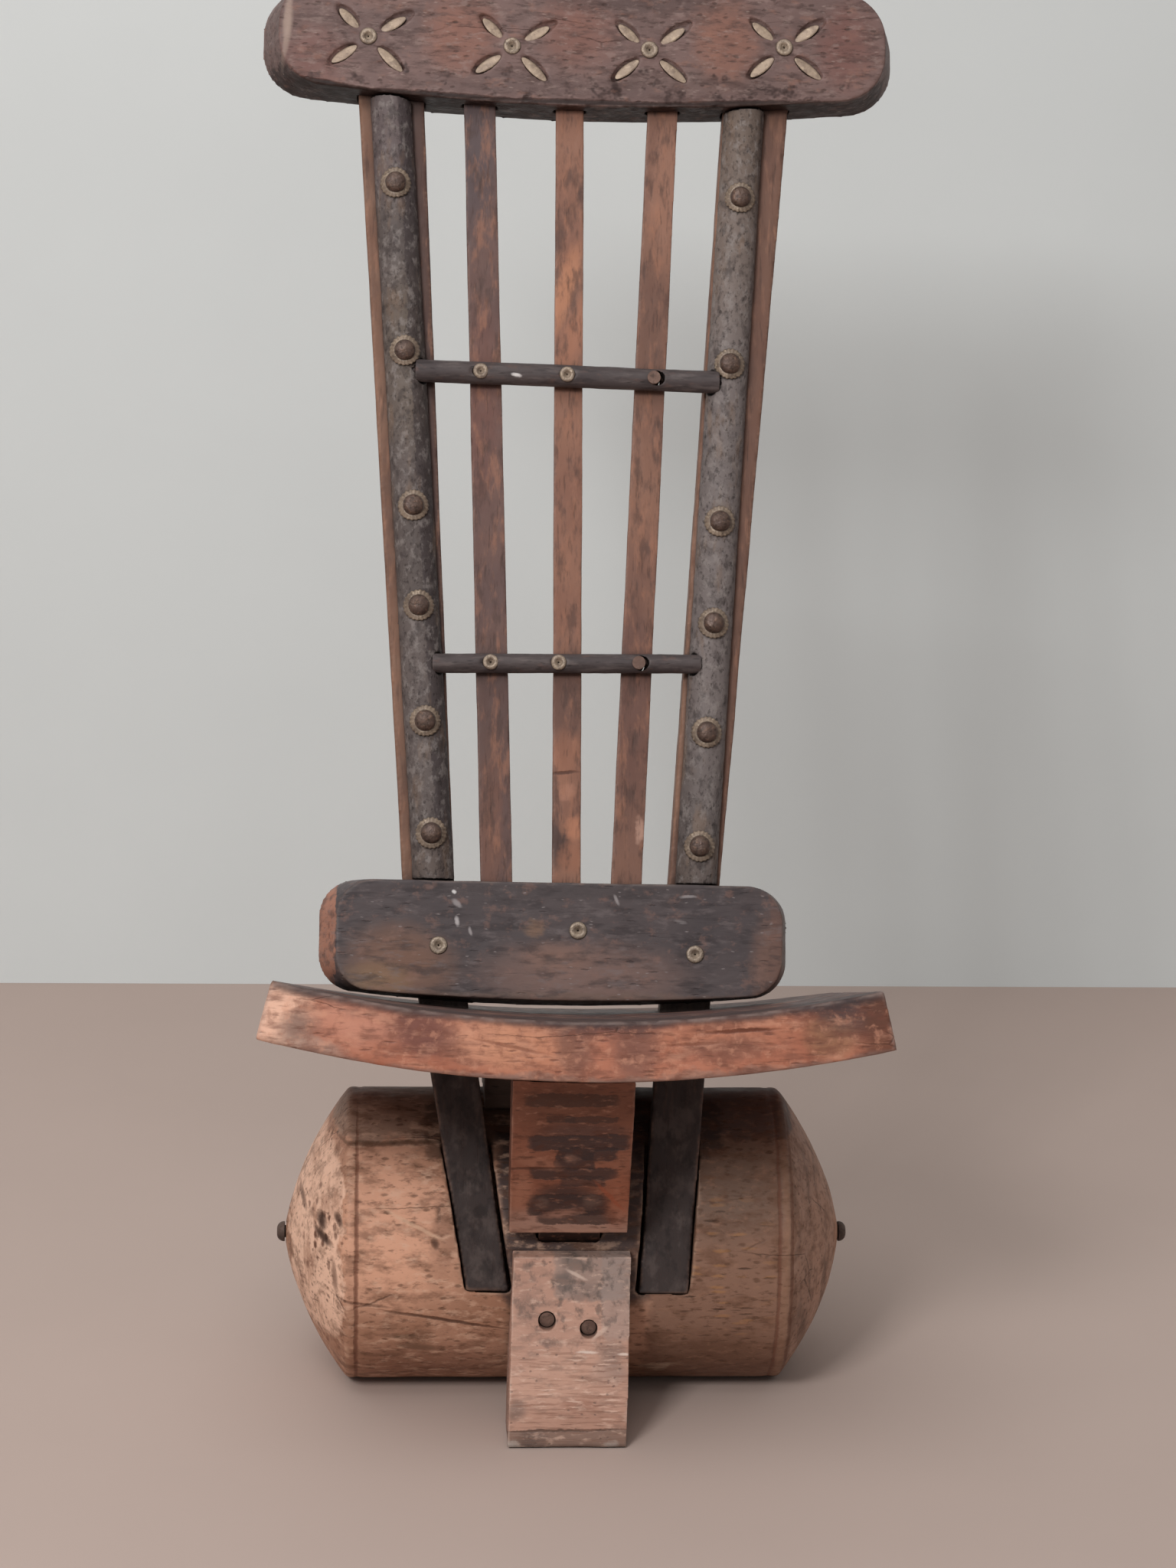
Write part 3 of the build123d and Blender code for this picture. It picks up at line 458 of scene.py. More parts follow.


# Old hardwood of a close, even grain, adzed round and rubbed: pale tan where hands and feet go, nearly black
# where soot and oil stay between the tails, with shallow tool marks, a few cracks along the grain, and a dull
# sheen; painted shadow of the seat darkens its top, and painted shade its right end
drumValues = {
    "voxel": 1.85,  # mm between the points of its worn skin
    "smoothing": 2,
    "relief": [("CLOUDS", (70, 45, 45), 1.3), ("CLOUDS", (16, 5, 5), 0.35)],
    "frame": logFrame,
    "drift": 18,
    "base": ("#bb8d75", "#a67a62"),
    "patches": [
        ("#7d6051", (104, 4, 70), (54, 110, 70), 0.75, 0, True),  # the browner right end: darker wood, with painted shade on the end turned from the key light
        ("#63544a", (94, 58, 70), (46, 30, 60), 0.6),
        ("#8a796c", (-40, 100, 40), (130, 20, 70), 0.6, 0, True),  # painted shadow of the seat on the drum's top
        # painted shadow of the seat on the drum's top, at the right
        ("#4f4341", (90, 102, 40), (60, 22, 70), 0.75, 0, True),
        ("#3e3536", (4, 46, 90), (50, 60, 60), 0.92, 0, True),  # stained between the tails
        ("#6b4a39", (92, -62, 80), (46, 26, 60), 0.7),
        ("#75513e", (20, -80, 70), (60, 14, 60), 0.5),
        ("#e3ac8f", (-110, 30, 80), (38, 46, 60), 0.9),
        ("#7d5543", (-92, -62, 80), (44, 20, 60), 0.6),
        ("#6c4b3b", (-74, 44, 80), (9, 40, 60), 0.5, -14),
        ("#f3c8ae", (-160, 14, 50), (17, 60, 90), 0.85, 0, True),
        ("#b08c7a", (160, 10, 50), (16, 80, 90), 0.65, 0, True),
        ("#b39681", (60, -66, 68), (14, 3.5, 40), 0.7),
        # painted shadow of the seat falling on the drum beside the tails
        ("#2f2826", (-62, 90, 60), (30, 18, 50), 0.55, 0, True),
        ("#3a3130", (68, 90, 60), (30, 18, 50), 0.7, 0, True),
    ],
    "tones": [
        ("#6a4937", (20, 10, 10), 0.46, 0.67, 0.6, -0.12),
        ("#e2b99f", (12, 6, 6), 0.5, 0.68, 0.55, 0.06, ((-70, 10, 60), (110, 120, 100))),
        ("#a07862", (9, 5, 5), 0.52, 0.7, 0.45, 0.05, ((110, 10, 60), (90, 120, 100))),
        ("#533828", (7, 3, 3), 0.53, 0.7, 0.55, -0.2),  # fibres, drawn coarser than the real ones
        ("#61493c", (7, 40, 40), 0.48, 0.66, 0.65, -0.15, ((158, 0, 60), (18, 90, 90))),
        ("#8d5f49", (7, 40, 40), 0.48, 0.66, 0.55, -0.2, ((-158, 0, 60), (18, 90, 90))),
    ],
    "dashes": [
        ("#5a3e2e", (9, 4, 5), 0.36, 0.25, 0.6, -0.3),
        ("#a97a52", (18, 4, 6), 0.4, 0.5, 0.6, 0.1, ((96, 8, 80), (34, 46, 60))),
        ("#3b2a22", (18, 2.6, 6), 0.34, 0.55, 0.75, -0.4, ((96, 8, 80), (34, 46, 60))),
        ("#5b3526", (4, 8, 9), 0.42, 0.6, 0.85, -0.9, ((-157, 24, 60), (14, 30, 80))),
        ("#6b402e", (6, 14, 16), 0.32, 0.35, 0.65, -0.6, ((-157, -10, 60), (14, 80, 80))),
    ],
    "cracks": [("#3f2c22", (150, 24, 24), 0.016, 0.56, 0.64, 0.6, -0.6)],
    "lineDepth": 70,
    "lines": [
        ("#6b4030", (-134, -110), (-134, 110), 1.3, 0.75, -0.6),  # scribed rings near the rims
        ("#6b4030", (133, -110), (133, 110), 1.2, 0.6, -0.5),
        ("#94705a", (137, -110), (137, 110), 2.4, 0.4, 0.3),
        ("#5b3426", (141, -110), (141, 110), 1.1, 0.6, -0.4),
        ("#4b3527", (-156, 79), (-66, 80), 1.2, 0.75, -0.4),
        ("#4b3125", (-117, -17), (-42, -31), 1.2, 0.85, -0.8),
        ("#4b3125", (-148, -10), (-112, -15), 1, 0.6, -0.5),
        ("#e0b89b", (-116, 46), (-80, 29), 1.2, 0.6, 0.2),
        ("#4a2f24", (-86, 30), (-83, 24), 2.4, 0.85, -0.9),
        ("#3c241b", (-157, 37), (-156, 27), 2.8, 0.95, -1.6),
        ("#3c241b", (-161, 26), (-150, 21), 2.8, 0.95, -1.6),
        ("#44291f", (-147, 42), (-144, 35), 2.2, 0.9, -1.3),
        ("#44291f", (-172, 42), (-167, 30), 2.2, 0.9, -1.3),
        ("#5b3a2b", (-149, 12), (-147, -8), 1.8, 0.7, -0.9),
        ("#5e4636", (-108, -44), (-82, -48), 3, 0.6, -0.4),
        ("#5e4636", (-118, -36), (-92, -38), 2, 0.55, -0.3),
    ],
    "worn": ("#d8b49b", 0.505, 0.55, 0.3),
    "cornerDirtAndShade": ("#241c18", 8, 0.35),
    "rough": (0.5, 0.68),
}
dressedCopy("logDrum", "drum", "adzedHardwoodLog", drumValues)
print("drum done")

# Regions of the seat, by centre and radii, and the runs of its upper front edge, dark with handling
seatFront = ((0, -12, 0), (400, 60, 30))
seatTop = ((0, 26, -134), (240, 36, 130))
upperArris = [((-190, 21.5), (-128, 9.5)), ((-140, 11.5), (-66, 1.5)), ((-78, 3), (10, -1)),
              ((-10, -1), (78, 3)), ((66, 1.5), (140, 11.5)), ((128, 9.5), (190, 21.5))]

# The same hardwood polished by use on its front, a warm orange brown in blotches, with a sooty grey top
seatValues = {
    "voxel": 1.8,
    "smoothing": 3,
    "relief": [("CLOUDS", (70, 40, 40), 1), ("CLOUDS", (14, 5, 5), 0.35)],
    "frame": seatFrame,
    "drift": 15,
    "driftSize": 14,
    "base": ("#a2654f", "#b0725b"),
    "face": (0, 20),  # Z of a patch's middle, and its reach along Z
    "patches": [
        ("#c9907a", (-132, -4), (26, 12), 0.6, -12),
        ("#cd9478", (-54, -12), (26, 15), 0.75),
        ("#c48a6c", (-30, -14), (24, 18), 0.6),
        ("#b4795f", (84, -2), (44, 12), 0.5, 3),
        ("#ecbfa6", (-178, 6), (20, 34), 0.85),
        ("#66433f", (-92, -8), (21, 13), 0.75, -15),
        ("#6b564f", (-164, -6), (12, 8), 0.75),
        ("#9c8579", (-158, -19), (22, 7), 0.7, -12),
        ("#3d3237", (14, 7), (50, 15), 0.92),
        ("#54403c", (-2, -14), (11, 24), 0.6),
        ("#5c4642", (34, -12), (13, 26), 0.6),
        ("#65453c", (86, -16), (24, 7), 0.6, 5),
        ("#8b7054", (150, -6), (16, 14), 0.5),
        ("#4f3f40", (150, 14), (26, 9), 0.85, 6),
        ("#4d3c3b", (164, 10), (24, 17), 0.8),
        ("#5c3b2e", (181, -4), (13, 36), 0.8),
        ("#54433f", (-150, 18), (40, 5), 0.6, -6),
        ("#4a4445", (0, 26, -134), (210, 33, 131), 0.92, 0, True),  # the top
        ("#8d7a70", (-60, -35, 0), (110, 4, 10), 0.5, -2),
        ("#8d7a70", (80, -32, 0), (80, 4, 10), 0.5, 5),
        ("#5f473d", (0, -50, -130), (210, 22, 128), 0.7, 0, True),  # the underside, darker: painted shade
    ],
    "tones": [
        ("#6f4539", (26, 8, 12), 0.46, 0.66, 0.6, -0.08),
        ("#d09a80", (22, 8, 8), 0.5, 0.68, 0.35, 0.04),
        ("#7a4c3d", (8, 8, 8), 0.5, 0.68, 0.5, -0.05, seatFront),
        ("#c99076", (7, 7, 7), 0.53, 0.7, 0.45, 0.03, seatFront),
        ("#5c382c", (16, 2.6, 3), 0.54, 0.72, 0.5, -0.14),
        ("#2f2a2a", (40, 12, 26), 0.5, 0.68, 0.5, -0.1, seatTop),
        ("#807674", (26, 12, 14), 0.55, 0.7, 0.4, 0, seatTop),
    ],
    "dashes": [("#57332a", (14, 2.6, 4), 0.34, 0.25, 0.55, -0.25)],
    "cracks": [("#3a241b", (120, 18, 22), 0.014, 0.58, 0.65, 0.5, -0.5)],
    "lines": [
        *(("#3c3232", start, end, 4.8, 0.85, 0) for start, end in upperArris),
        ("#55291b", (76, -6), (117, -3), 1.2, 0.85, -0.6),
        ("#6b3a2a", (-60, -12), (-20, -20), 1.1, 0.55, -0.4),
        ("#6b3a2a", (52, -14), (84, -12), 1, 0.55, -0.4),
    ],
    "worn": ("#948078", 0.505, 0.55, 0.5),
    "cornerDirtAndShade": ("#1d1613", 20, 0.7),
    "rough": (0.38, 0.56),
}
dressedCopy("dishedSeat", "seat", "usePolishedHardwood", seatValues)
print("seat done")

# A block of paler, drier wood: pinkish buff, with grey blotches above and raised grain in bars lower down
footValues = {
    "voxel": 1,
    "smoothing": 4,
    "relief": [("CLOUDS", (45, 30, 30), 0.9), ("CLOUDS", (10, 3, 3), 0.3)],
    "frame": footFrame,
    "drift": 8,
    "driftSize": 10,
    "base": ("#b68d7b", "#c59b88"),
    "face": (0, 40),
    "patches": [
        ("#94837b", (16, 100), (26, 18), 0.7, 0, True),
        ("#6f625b", (3, 106), (9, 6), 0.75, -20),
        ("#6d615c", (-3, 94), (6, 6), 0.85, 0, False, -0.7),  # filled knot hole
        ("#7b6a63", (13, 88), (13, 5), 0.5, 10),
        ("#9d8d86", (30, 88), (10, 30), 0.5, 0, True),
        ("#7c6a62", (-27, 103), (3, 2.4), 0.6),
        ("#7c6a62", (-23, 95), (2.4, 2), 0.5),
        ("#8a6f64", (-27, 78), (7, 10), 0.45),
        ("#705f59", (-15, 56), (5, 2.6), 0.6, -10, False, -0.2),
        ("#7d6a62", (26, 50), (8, 8), 0.6, 30),
        ("#8a7a73", (24, 38), (11, 7), 0.55),
        ("#c99f8b", (-6, 34), (30, 17), 0.6),
        ("#8f6250", (6, 18), (12, 4), 0.55, 0, False, -0.1),
        ("#77665e", (-33, 15), (6, 7), 0.7),
        ("#7e6a60", (0, -4), (44, 6.5), 0.75, 0, True),  # the toe's own short face: greyer wood, and darker as painted shade on this steeper face
        ("#5f524d", (-24, -4), (10, 5), 0.7),
        ("#c9bdb4", (-36, -7), (5, 3.5), 0.8, -30),
        ("#c9bdb4", (26, -6), (4, 2.6), 0.5),
        ("#473c39", (0, 40, -80), (60, 90, 62), 0.5, 0, True),
    ],
    "tones": [
        ("#8f7366", (16, 6, 8), 0.48, 0.66, 0.5, -0.08),
        ("#dfbca9", (10, 4, 5), 0.52, 0.7, 0.55, 0.08),
        ("#5f544e", (6, 8, 7), 0.5, 0.66, 0.65, -0.3, ((6, 92, 0), (50, 40, 60))),
        ("#8d6857", (26, 2, 3), 0.5, 0.66, 0.6, -0.25, ((0, 26, 0), (60, 34, 60))),
    ],
    "dashes": [
        ("#e3c0ad", (20, 2.2, 8), 0.34, 0.35, 0.7, 0.25, ((0, 30, 0), (44, 34, 60))),
        ("#7a5546", (18, 2, 8), 0.3, 0.35, 0.6, -0.3, ((0, 26, 0), (44, 30, 60))),
        ("#6f5b52", (4, 3, 5), 0.3, 0.2, 0.6, -0.3),
    ],
    "lines": [
        ("#e6d0c2", (5, 50), (17, 50), 0.9, 0.8, 0.3),
        ("#e6d0c2", (30, 49), (38, 49), 0.9, 0.8, 0.3),
        ("#5a453c", (-38, 1.5), (38, 2.5), 0.8, 0.75, -0.5),
        ("#8d6553", (-36, 17), (-8, 18.5), 0.8, 0.6, -0.4),
        ("#8d6553", (2, 23), (34, 22), 0.8, 0.6, -0.4),
        ("#d8bfb0", (-2, 101), (10, 95), 1.1, 0.7, 0.2),
        ("#d5b9a9", (14, 58), (24, 66), 1.3, 0.6, 0.2),
    ],
    "worn": ("#d3bcad", 0.505, 0.55, 0.5),
    "cornerDirtAndShade": ("#2b211d", 14, 0.8),
    "rough": (0.5, 0.7),
}
dressedCopy("frontFoot", "front_foot", "dryPaleHardwood", footValues)

# Reddish brown hardwood with a design burnt into its front: dull charcoal grey in soft-edged shapes
braceValues = {
    "voxel": 1,
    "smoothing": 4,
    "relief": [("CLOUDS", (40, 40, 30), 0.8), ("CLOUDS", (8, 5, 5), 0.3)],
    "frame": braceFrame,
    "drift": 7,
    "driftSize": 8,
    "base": ("#83513e", "#8e5c48"),
    "face": (0, 10),
    "patches": [
        # painted shadow of the seat across the top of the brace
        ("#5e3a2c", (0, 114, 0), (44, 26, 20), 0.7),
        ("#b08c7c", (0, 4, 0), (60, 20, 20), 0.8),
        ("#3d2b25", (-4, 122), (28, 6), 0.7, 0, True),
        ("#44302a", (-10, 105), (9, 3), 0.75, 0, True, -0.2),
        ("#44302a", (9, 105), (16, 3), 0.75, 0, True, -0.2),
        ("#463735", (4, 94), (26, 8), 0.6),
        ("#3c2f2e", (2, 84), (31, 7), 0.88, 0, True, -0.3),
        ("#3c2f2e", (8, 74), (18, 6), 0.85, 0, True, -0.3),
        ("#3c2f2e", (0, 68), (12, 9), 0.85, 0, True, -0.3),
        ("#75574b", (-2, 70), (4.4, 4), 0.75, 0, False, 0.1),
        ("#3e302e", (0, 56), (27, 5.6), 0.85, 0, True, -0.3),
        ("#3e302e", (6, 49), (14, 5), 0.7, 0, True, -0.2),
        ("#3d2f2d", (-4, 37), (17, 9), 0.85, 0, False, -0.2),
        ("#3d2f2d", (-2, 27), (26, 10), 0.88, 0, True, -0.3),
        ("#3d2f2d", (4, 15), (25, 7), 0.8, 0, True, -0.3),
        ("#9a7060", (-6, 19), (12, 4), 0.85, 12, False, 0.1),
        ("#6a534a", (-19, 29), (5, 5), 0.7, 0, False, 0.1),
        ("#6a534a", (12, 31), (5.6, 6), 0.7, 0, False, 0.1),
        ("#9d5f46", (29, 30), (9, 24), 0.6),
        ("#a9745d", (-32, 40), (7, 16), 0.6),
        ("#9b6a55", (-22, 66), (14, 5), 0.6, -20),
        ("#3b2c27", (0, 90, -20), (60, 120, 17), 0.5, 0, True),
        ("#352a27", (0, -14, -16), (44, 14, 10), 0.92, 0, True),  # the tenon under it
    ],
    "tones": [
        ("#553225", (14, 8, 8), 0.48, 0.68, 0.6, -0.06),
        ("#b07d67", (10, 5, 6), 0.54, 0.72, 0.45, 0.03),
        ("#4c2e23", (16, 2.4, 3), 0.54, 0.72, 0.5, -0.12),
    ],
    "dashes": [("#452b22", (9, 2.4, 4), 0.32, 0.3, 0.55, -0.25)],
    "lines": [
        ("#4c2f25", (-44, 60), (-8, 61), 1.2, 0.7, -0.5),
        ("#9a5138", (14, 48), (32, 22), 1.6, 0.6, -0.3),
        ("#b08672", (-38, 2), (34, 3), 1.8, 0.5, 0.1),
    ],
    "worn": ("#a98371", 0.505, 0.55, 0.45),
    "cornerDirtAndShade": ("#1f1613", 14, 0.7),
    "rough": (0.5, 0.68),
}
dressedCopy("seatBrace", "seat_brace", "burntHardwood", braceValues)

saddleValues = {
    "voxel": 1.6,
    "smoothing": 3,
    "relief": [("CLOUDS", (40, 40, 30), 1), ("CLOUDS", (12, 4, 4), 0.3)],
    "frame": logFrame,
    "base": ("#5c4a42", "#6a564b"),
    "tones": [
        ("#40342f", (30, 7, 9), 0.48, 0.7, 0.6, -0.1),
        ("#82695b", (22, 4, 5), 0.54, 0.72, 0.4, 0.05),
    ],
    "dashes": [("#2f2521", (16, 2.4, 4), 0.3, 0.25, 0.6, -0.3)],
    "worn": ("#8c7465", 0.505, 0.55, 0.4),
    "cornerDirtAndShade": ("#1d1613", 20, 0.7),
    "rough": (0.52, 0.7),
}
dressedCopy("saddleBlock", "saddle_block", "sootyHardwoodBlock", saddleValues)
print("foot, brace and saddle block done")

# Dark hardwood handled for years: purplish brown with red blotches, rubbed grey where it stands out, nicked
crestValues = {
    "voxel": 1.2,
    "smoothing": 2,
    "relief": [("CLOUDS", (70, 40, 40), 0.9), ("CLOUDS", (12, 6, 6), 0.3)],
    "frame": backFrame,
    "drift": 18,
    "base": ("#68534f", "#755d58"),
    "face": (16, 30),
    "patches": [
        ("#85594a", (-76, 632), (22, 26), 0.65),
        ("#7b5145", (0, 636), (22, 24), 0.6),
        ("#8a5e4e", (97, 632), (20, 28), 0.65),
        ("#744b43", (176, 630), (18, 26), 0.6),
        ("#744b43", (-170, 612), (18, 20), 0.5),
        ("#806056", (-120, 655), (20, 10), 0.5),
        ("#493a38", (40, 655), (60, 7), 0.6),
        ("#554543", (-30, 598), (80, 8), 0.5),
        ("#604e49", (80, 604), (60, 6), 0.4),
        ("#2b1a17", (0, 590, -6), (230, 22, 20), 0.95, 0, True),  # the underside, nearly black: painted shade
    ],
    "tones": [
        ("#4b3834", (20, 6, 7), 0.47, 0.67, 0.6, -0.12),
        ("#8f7972", (9, 4, 6), 0.52, 0.7, 0.45, 0.08),
        ("#8f6555", (14, 8, 8), 0.55, 0.72, 0.4, 0),
        ("#3c2c28", (10, 2.4, 3), 0.53, 0.7, 0.55, -0.2),
    ],
    "dashes": [
        ("#3d2d28", (8, 3, 4), 0.34, 0.3, 0.6, -0.4),
        ("#9a857c", (7, 2.2, 4), 0.28, 0.15, 0.45, 0.15),
    ],
    "cracks": [("#33241f", (110, 16, 20), 0.012, 0.6, 0.68, 0.5, -0.5)],
    "lineDepth": 16,
    "lines": [
        ("#a58f82", (-188, 622), (-186, 652), 2.6, 0.7, 0.1),
        ("#9d887c", (-190, 608), (-184, 640), 2, 0.5, 0.1),
        ("#241815", (-190, 600), (-128, 590.5), 1.8, 0.95, -0.6),
        ("#241815", (-145, 592), (-40, 588), 1.8, 0.95, -0.6),
        ("#241815", (-60, 588), (70, 588), 1.8, 0.9, -0.6),
        ("#241815", (50, 588), (160, 593), 1.8, 0.9, -0.6),
    ],
    "worn": ("#8d7972", 0.508, 0.56, 0.3),
    "cornerDirtAndShade": ("#231815", 6, 0.85),
    "rough": (0.44, 0.62),
}
dressedCopy("crestRail", "crest_rail", "handledDarkHardwood", crestValues)

# Hardwood blackened by smoke and rubbed to a low polish, brown again where a sitter's back has worn it
boardValues = {
    "voxel": 1.1,
    "smoothing": 3,
    "relief": [("CLOUDS", (60, 40, 40), 0.8), ("CLOUDS", (12, 5, 5), 0.3)],
    "frame": backFrame,
    "drift": 9,
    "driftSize": 12,
    "base": ("#4a4243", "#534949"),
    "face": (25, 24),
    "patches": [
        ("#7a5a4b", (-101, 28), (32, 22), 0.85, -10),
        ("#85684f", (-116, 17), (20, 11), 0.65),
        ("#7c625a", (12, 22), (60, 20), 0.85),
        ("#836458", (-4, 33), (20, 9), 0.6),
        ("#8a6953", (-18, 51), (6, 5), 0.6),
        ("#775a4f", (134, 30), (14, 32), 0.8),
        ("#694f47", (139, 50, 14), (8, 40, 20), 0.6, 0, True),
        ("#a8735d", (-150, 44, 10), (7.5, 44, 16), 0.85, 0, True),  # the bevelled left end
        ("#6f5a50", (0, 8, 24), (130, 3.5, 12), 0.6),
        ("#463e3e", (20, 76), (130, 6), 0.5),
    ],
    "tones": [
        ("#352e2f", (24, 7, 8), 0.46, 0.67, 0.6, -0.08),
        ("#776a69", (14, 5, 7), 0.53, 0.71, 0.4, 0.05),
        ("#86655a", (9, 7, 6), 0.54, 0.71, 0.4, 0.03),
        ("#2f2828", (20, 1.7, 3), 0.57, 0.75, 0.4, -0.14),
    ],
    "dashes": [
        ("#2d2626", (14, 2.4, 4), 0.3, 0.2, 0.5, -0.3),
        ("#958a88", (6, 2, 4), 0.26, 0.12, 0.5, 0.08),
        ("#5c3426", (3, 9, 6), 0.34, 0.5, 0.6, -0.3, ((-150, 44, 10), (7, 44, 18))),
    ],
    "lineDepth": 25,
    "lines": [
        ("#d8d2d0", (-70, 72.5), (-68, 74), 1.3, 0.9, 0.1),
        ("#a9a09f", (-70, 68), (-64, 64), 1.6, 0.6, 0.1),
        ("#b9b1b0", (-67, 58), (-66, 52), 1.3, 0.8, 0.1),
        ("#a59c9b", (-59, 51), (-57, 46), 1.1, 0.7, 0.1),
        ("#a59c9b", (32, 73), (35, 67), 1.1, 0.6, 0.1),
        ("#a59c9b", (74, 73), (84, 73), 1, 0.6, 0.1),
        ("#8f8685", (70, 58), (78, 56), 1.2, 0.4, 0.1),
    ],
    "worn": ("#8a776e", 0.505, 0.55, 0.5),
    "cornerDirtAndShade": ("#191313", 10, 0.8),
    "rough": (0.38, 0.56),
}
dressedCopy("lumbarBoard", "lumbar_board", "smokedHardwoodBoard", boardValues)
print("crest rail and lumbar board done")

# Regions of the stiles, by centre and radii
aboveSeat = ((0, 330, 0), (260, 330, 90))
tails = ((0, -120, 0), (260, 140, 120))

# Hewn posts, warm brown on their open edges and black with smoke where they run down into the drum
stileValues = {
    "voxel": 1.3,
    "swell": 0.8,  # mm, closes most of the gap round the tails
    "smoothing": 2,
    "relief": [("CLOUDS", (35, 70, 35), 0.9), ("CLOUDS", (5, 16, 5), 0.3)],
    "frame": backFrame,
    "drift": 12,
    "base": ("#735344", "#80604f"),
    "patches": [
        ("#3b3332", (0, -120, 0), (220, 118, 90), 0.96, 0, True),  # the tails
        # painted shade under the lumbar board, just above the seat
        ("#463937", (0, 24, 0), (220, 44, 60), 0.8, 0, True),
        ("#8b766b", (0, 4, 0), (220, 9, 60), 0.7, 0, True),
        # painted shade on the stiles along the right side of each cover strip
        ("#4d3b38", (-83, 380, -6), (10, 300, 30), 0.85, 4.2, True),
        ("#664a41", (118, 380, -6), (10, 300, 30), 0.6, -4.2, True),
    ],
    "tones": [
        ("#523d36", (10, 40, 12), 0.47, 0.67, 0.55, -0.06, aboveSeat),
        ("#a27660", (5, 30, 8), 0.53, 0.7, 0.5, 0.04, aboveSeat),
        ("#3f2f2a", (2.2, 26, 3), 0.54, 0.72, 0.5, -0.14),
        ("#5b4f4b", (10, 16, 14), 0.48, 0.66, 0.65, 0, tails),
        ("#282120", (8, 12, 12), 0.48, 0.66, 0.6, -0.1, tails),
    ],
    "worn": ("#a07d6b", 0.508, 0.56, 0.35),
    "cornerDirtAndShade": ("#191211", 12, 0.8),
    "rough": (0.52, 0.7),
}
stileWood = surface("hewnSmokedHardwood", stileValues)
for side in ("left", "right"):
    stile = wornCopy(side + "Stile", "stile_" + side, stileValues)
    dress(stile, stileWood, "stile_" + side)

# Half-round strips with a fine pebbled skin, like scraped rind, smoked to a dull grey
stripValues = {
    "voxel": 1,
    "smoothing": 3,
    "relief": [("CLOUDS", (24, 50, 24), 0.7), ("CLOUDS", (6, 9, 6), 0.55)],
    "frame": backFrame,
    "drift": 6,
    "driftSize": 8,
    "base": ("#554c49", "#605653"),
    "face": (10, 30),
    "patches": [
        ("#66595a", (-100, 560), (60, 40), 0.6),
        ("#74604f", (100, 520), (40, 90), 0.5),
        ("#6d5f50", (-92, 420), (30, 60), 0.4),
        # painted shade along the right flank of each strip, away from the key light
        ("#3d3536", (-91, 330, 6), (6, 280, 16), 0.7, 4.2, True),
        ("#453d3c", (114, 330, 6), (6, 280, 16), 0.5, -3, True),
        ("#64554d", (0, 88), (160, 20), 0.5),
        ("#857b79", (108, 300), (30, 240), 0.5),
    ],
    "tones": [
        ("#857c78", (5, 7, 5), 0.48, 0.66, 0.6, 0.25),
        ("#38302f", (6, 9, 6), 0.49, 0.68, 0.6, -0.2),
        ("#2e2725", (2.6, 4, 3), 0.53, 0.7, 0.65, -0.3),
        ("#7d6553", (12, 40, 10), 0.52, 0.7, 0.4, 0),
    ],
    "worn": ("#8d8380", 0.508, 0.56, 0.3),
    "cornerDirtAndShade": ("#1b1514", 7, 0.8),
    "rough": (0.54, 0.72),
}
stripWood = surface("smokedPebbledStrip", stripValues)
for side in ("left", "right"):
    strip = wornCopy(side + "CoverStrip", "cover_strip_" + side, stripValues)
    dress(strip, stripWood, "cover_strip_" + side)

# Whittled round bars, smoked like the strips and rubbed brighter along their crowns
barValues = {
    "voxel": 0.8,
    "longer": 1.035,  # reaches into the strips
    "smoothing": 3,
    "relief": [("CLOUDS", (36, 12, 12), 0.8), ("CLOUDS", (8, 4, 4), 0.25)],
    "frame": backFrame,
    "base": ("#463e3e", "#504746"),
    "tones": [
        ("#6f6461", (22, 4, 5), 0.5, 0.68, 0.5, 0.05),
        ("#302a2a", (18, 3, 4), 0.5, 0.68, 0.5, -0.1),
        ("#6b524a", (10, 5, 6), 0.55, 0.72, 0.4, 0),
    ],
    "dashes": [("#2a2423", (9, 2, 3), 0.32, 0.3, 0.5, -0.2)],
    "lines": [("#dcd5d2", (-38, 407.5), (-32, 406.5), 1.1, 0.9, 0)],
    "lineDepth": 14,
    "worn": ("#80746f", 0.508, 0.56, 0.35),
    "cornerDirtAndShade": ("#1b1514", 6, 0.75),
    "rough": (0.46, 0.64),
}
barWood = surface("whittledSmokedBar", barValues)
for level in ("upper", "lower"):
    bar = wornCopy(level + "Crossbar", "crossbar_" + level, barValues)
    dress(bar, barWood, "crossbar_" + level)

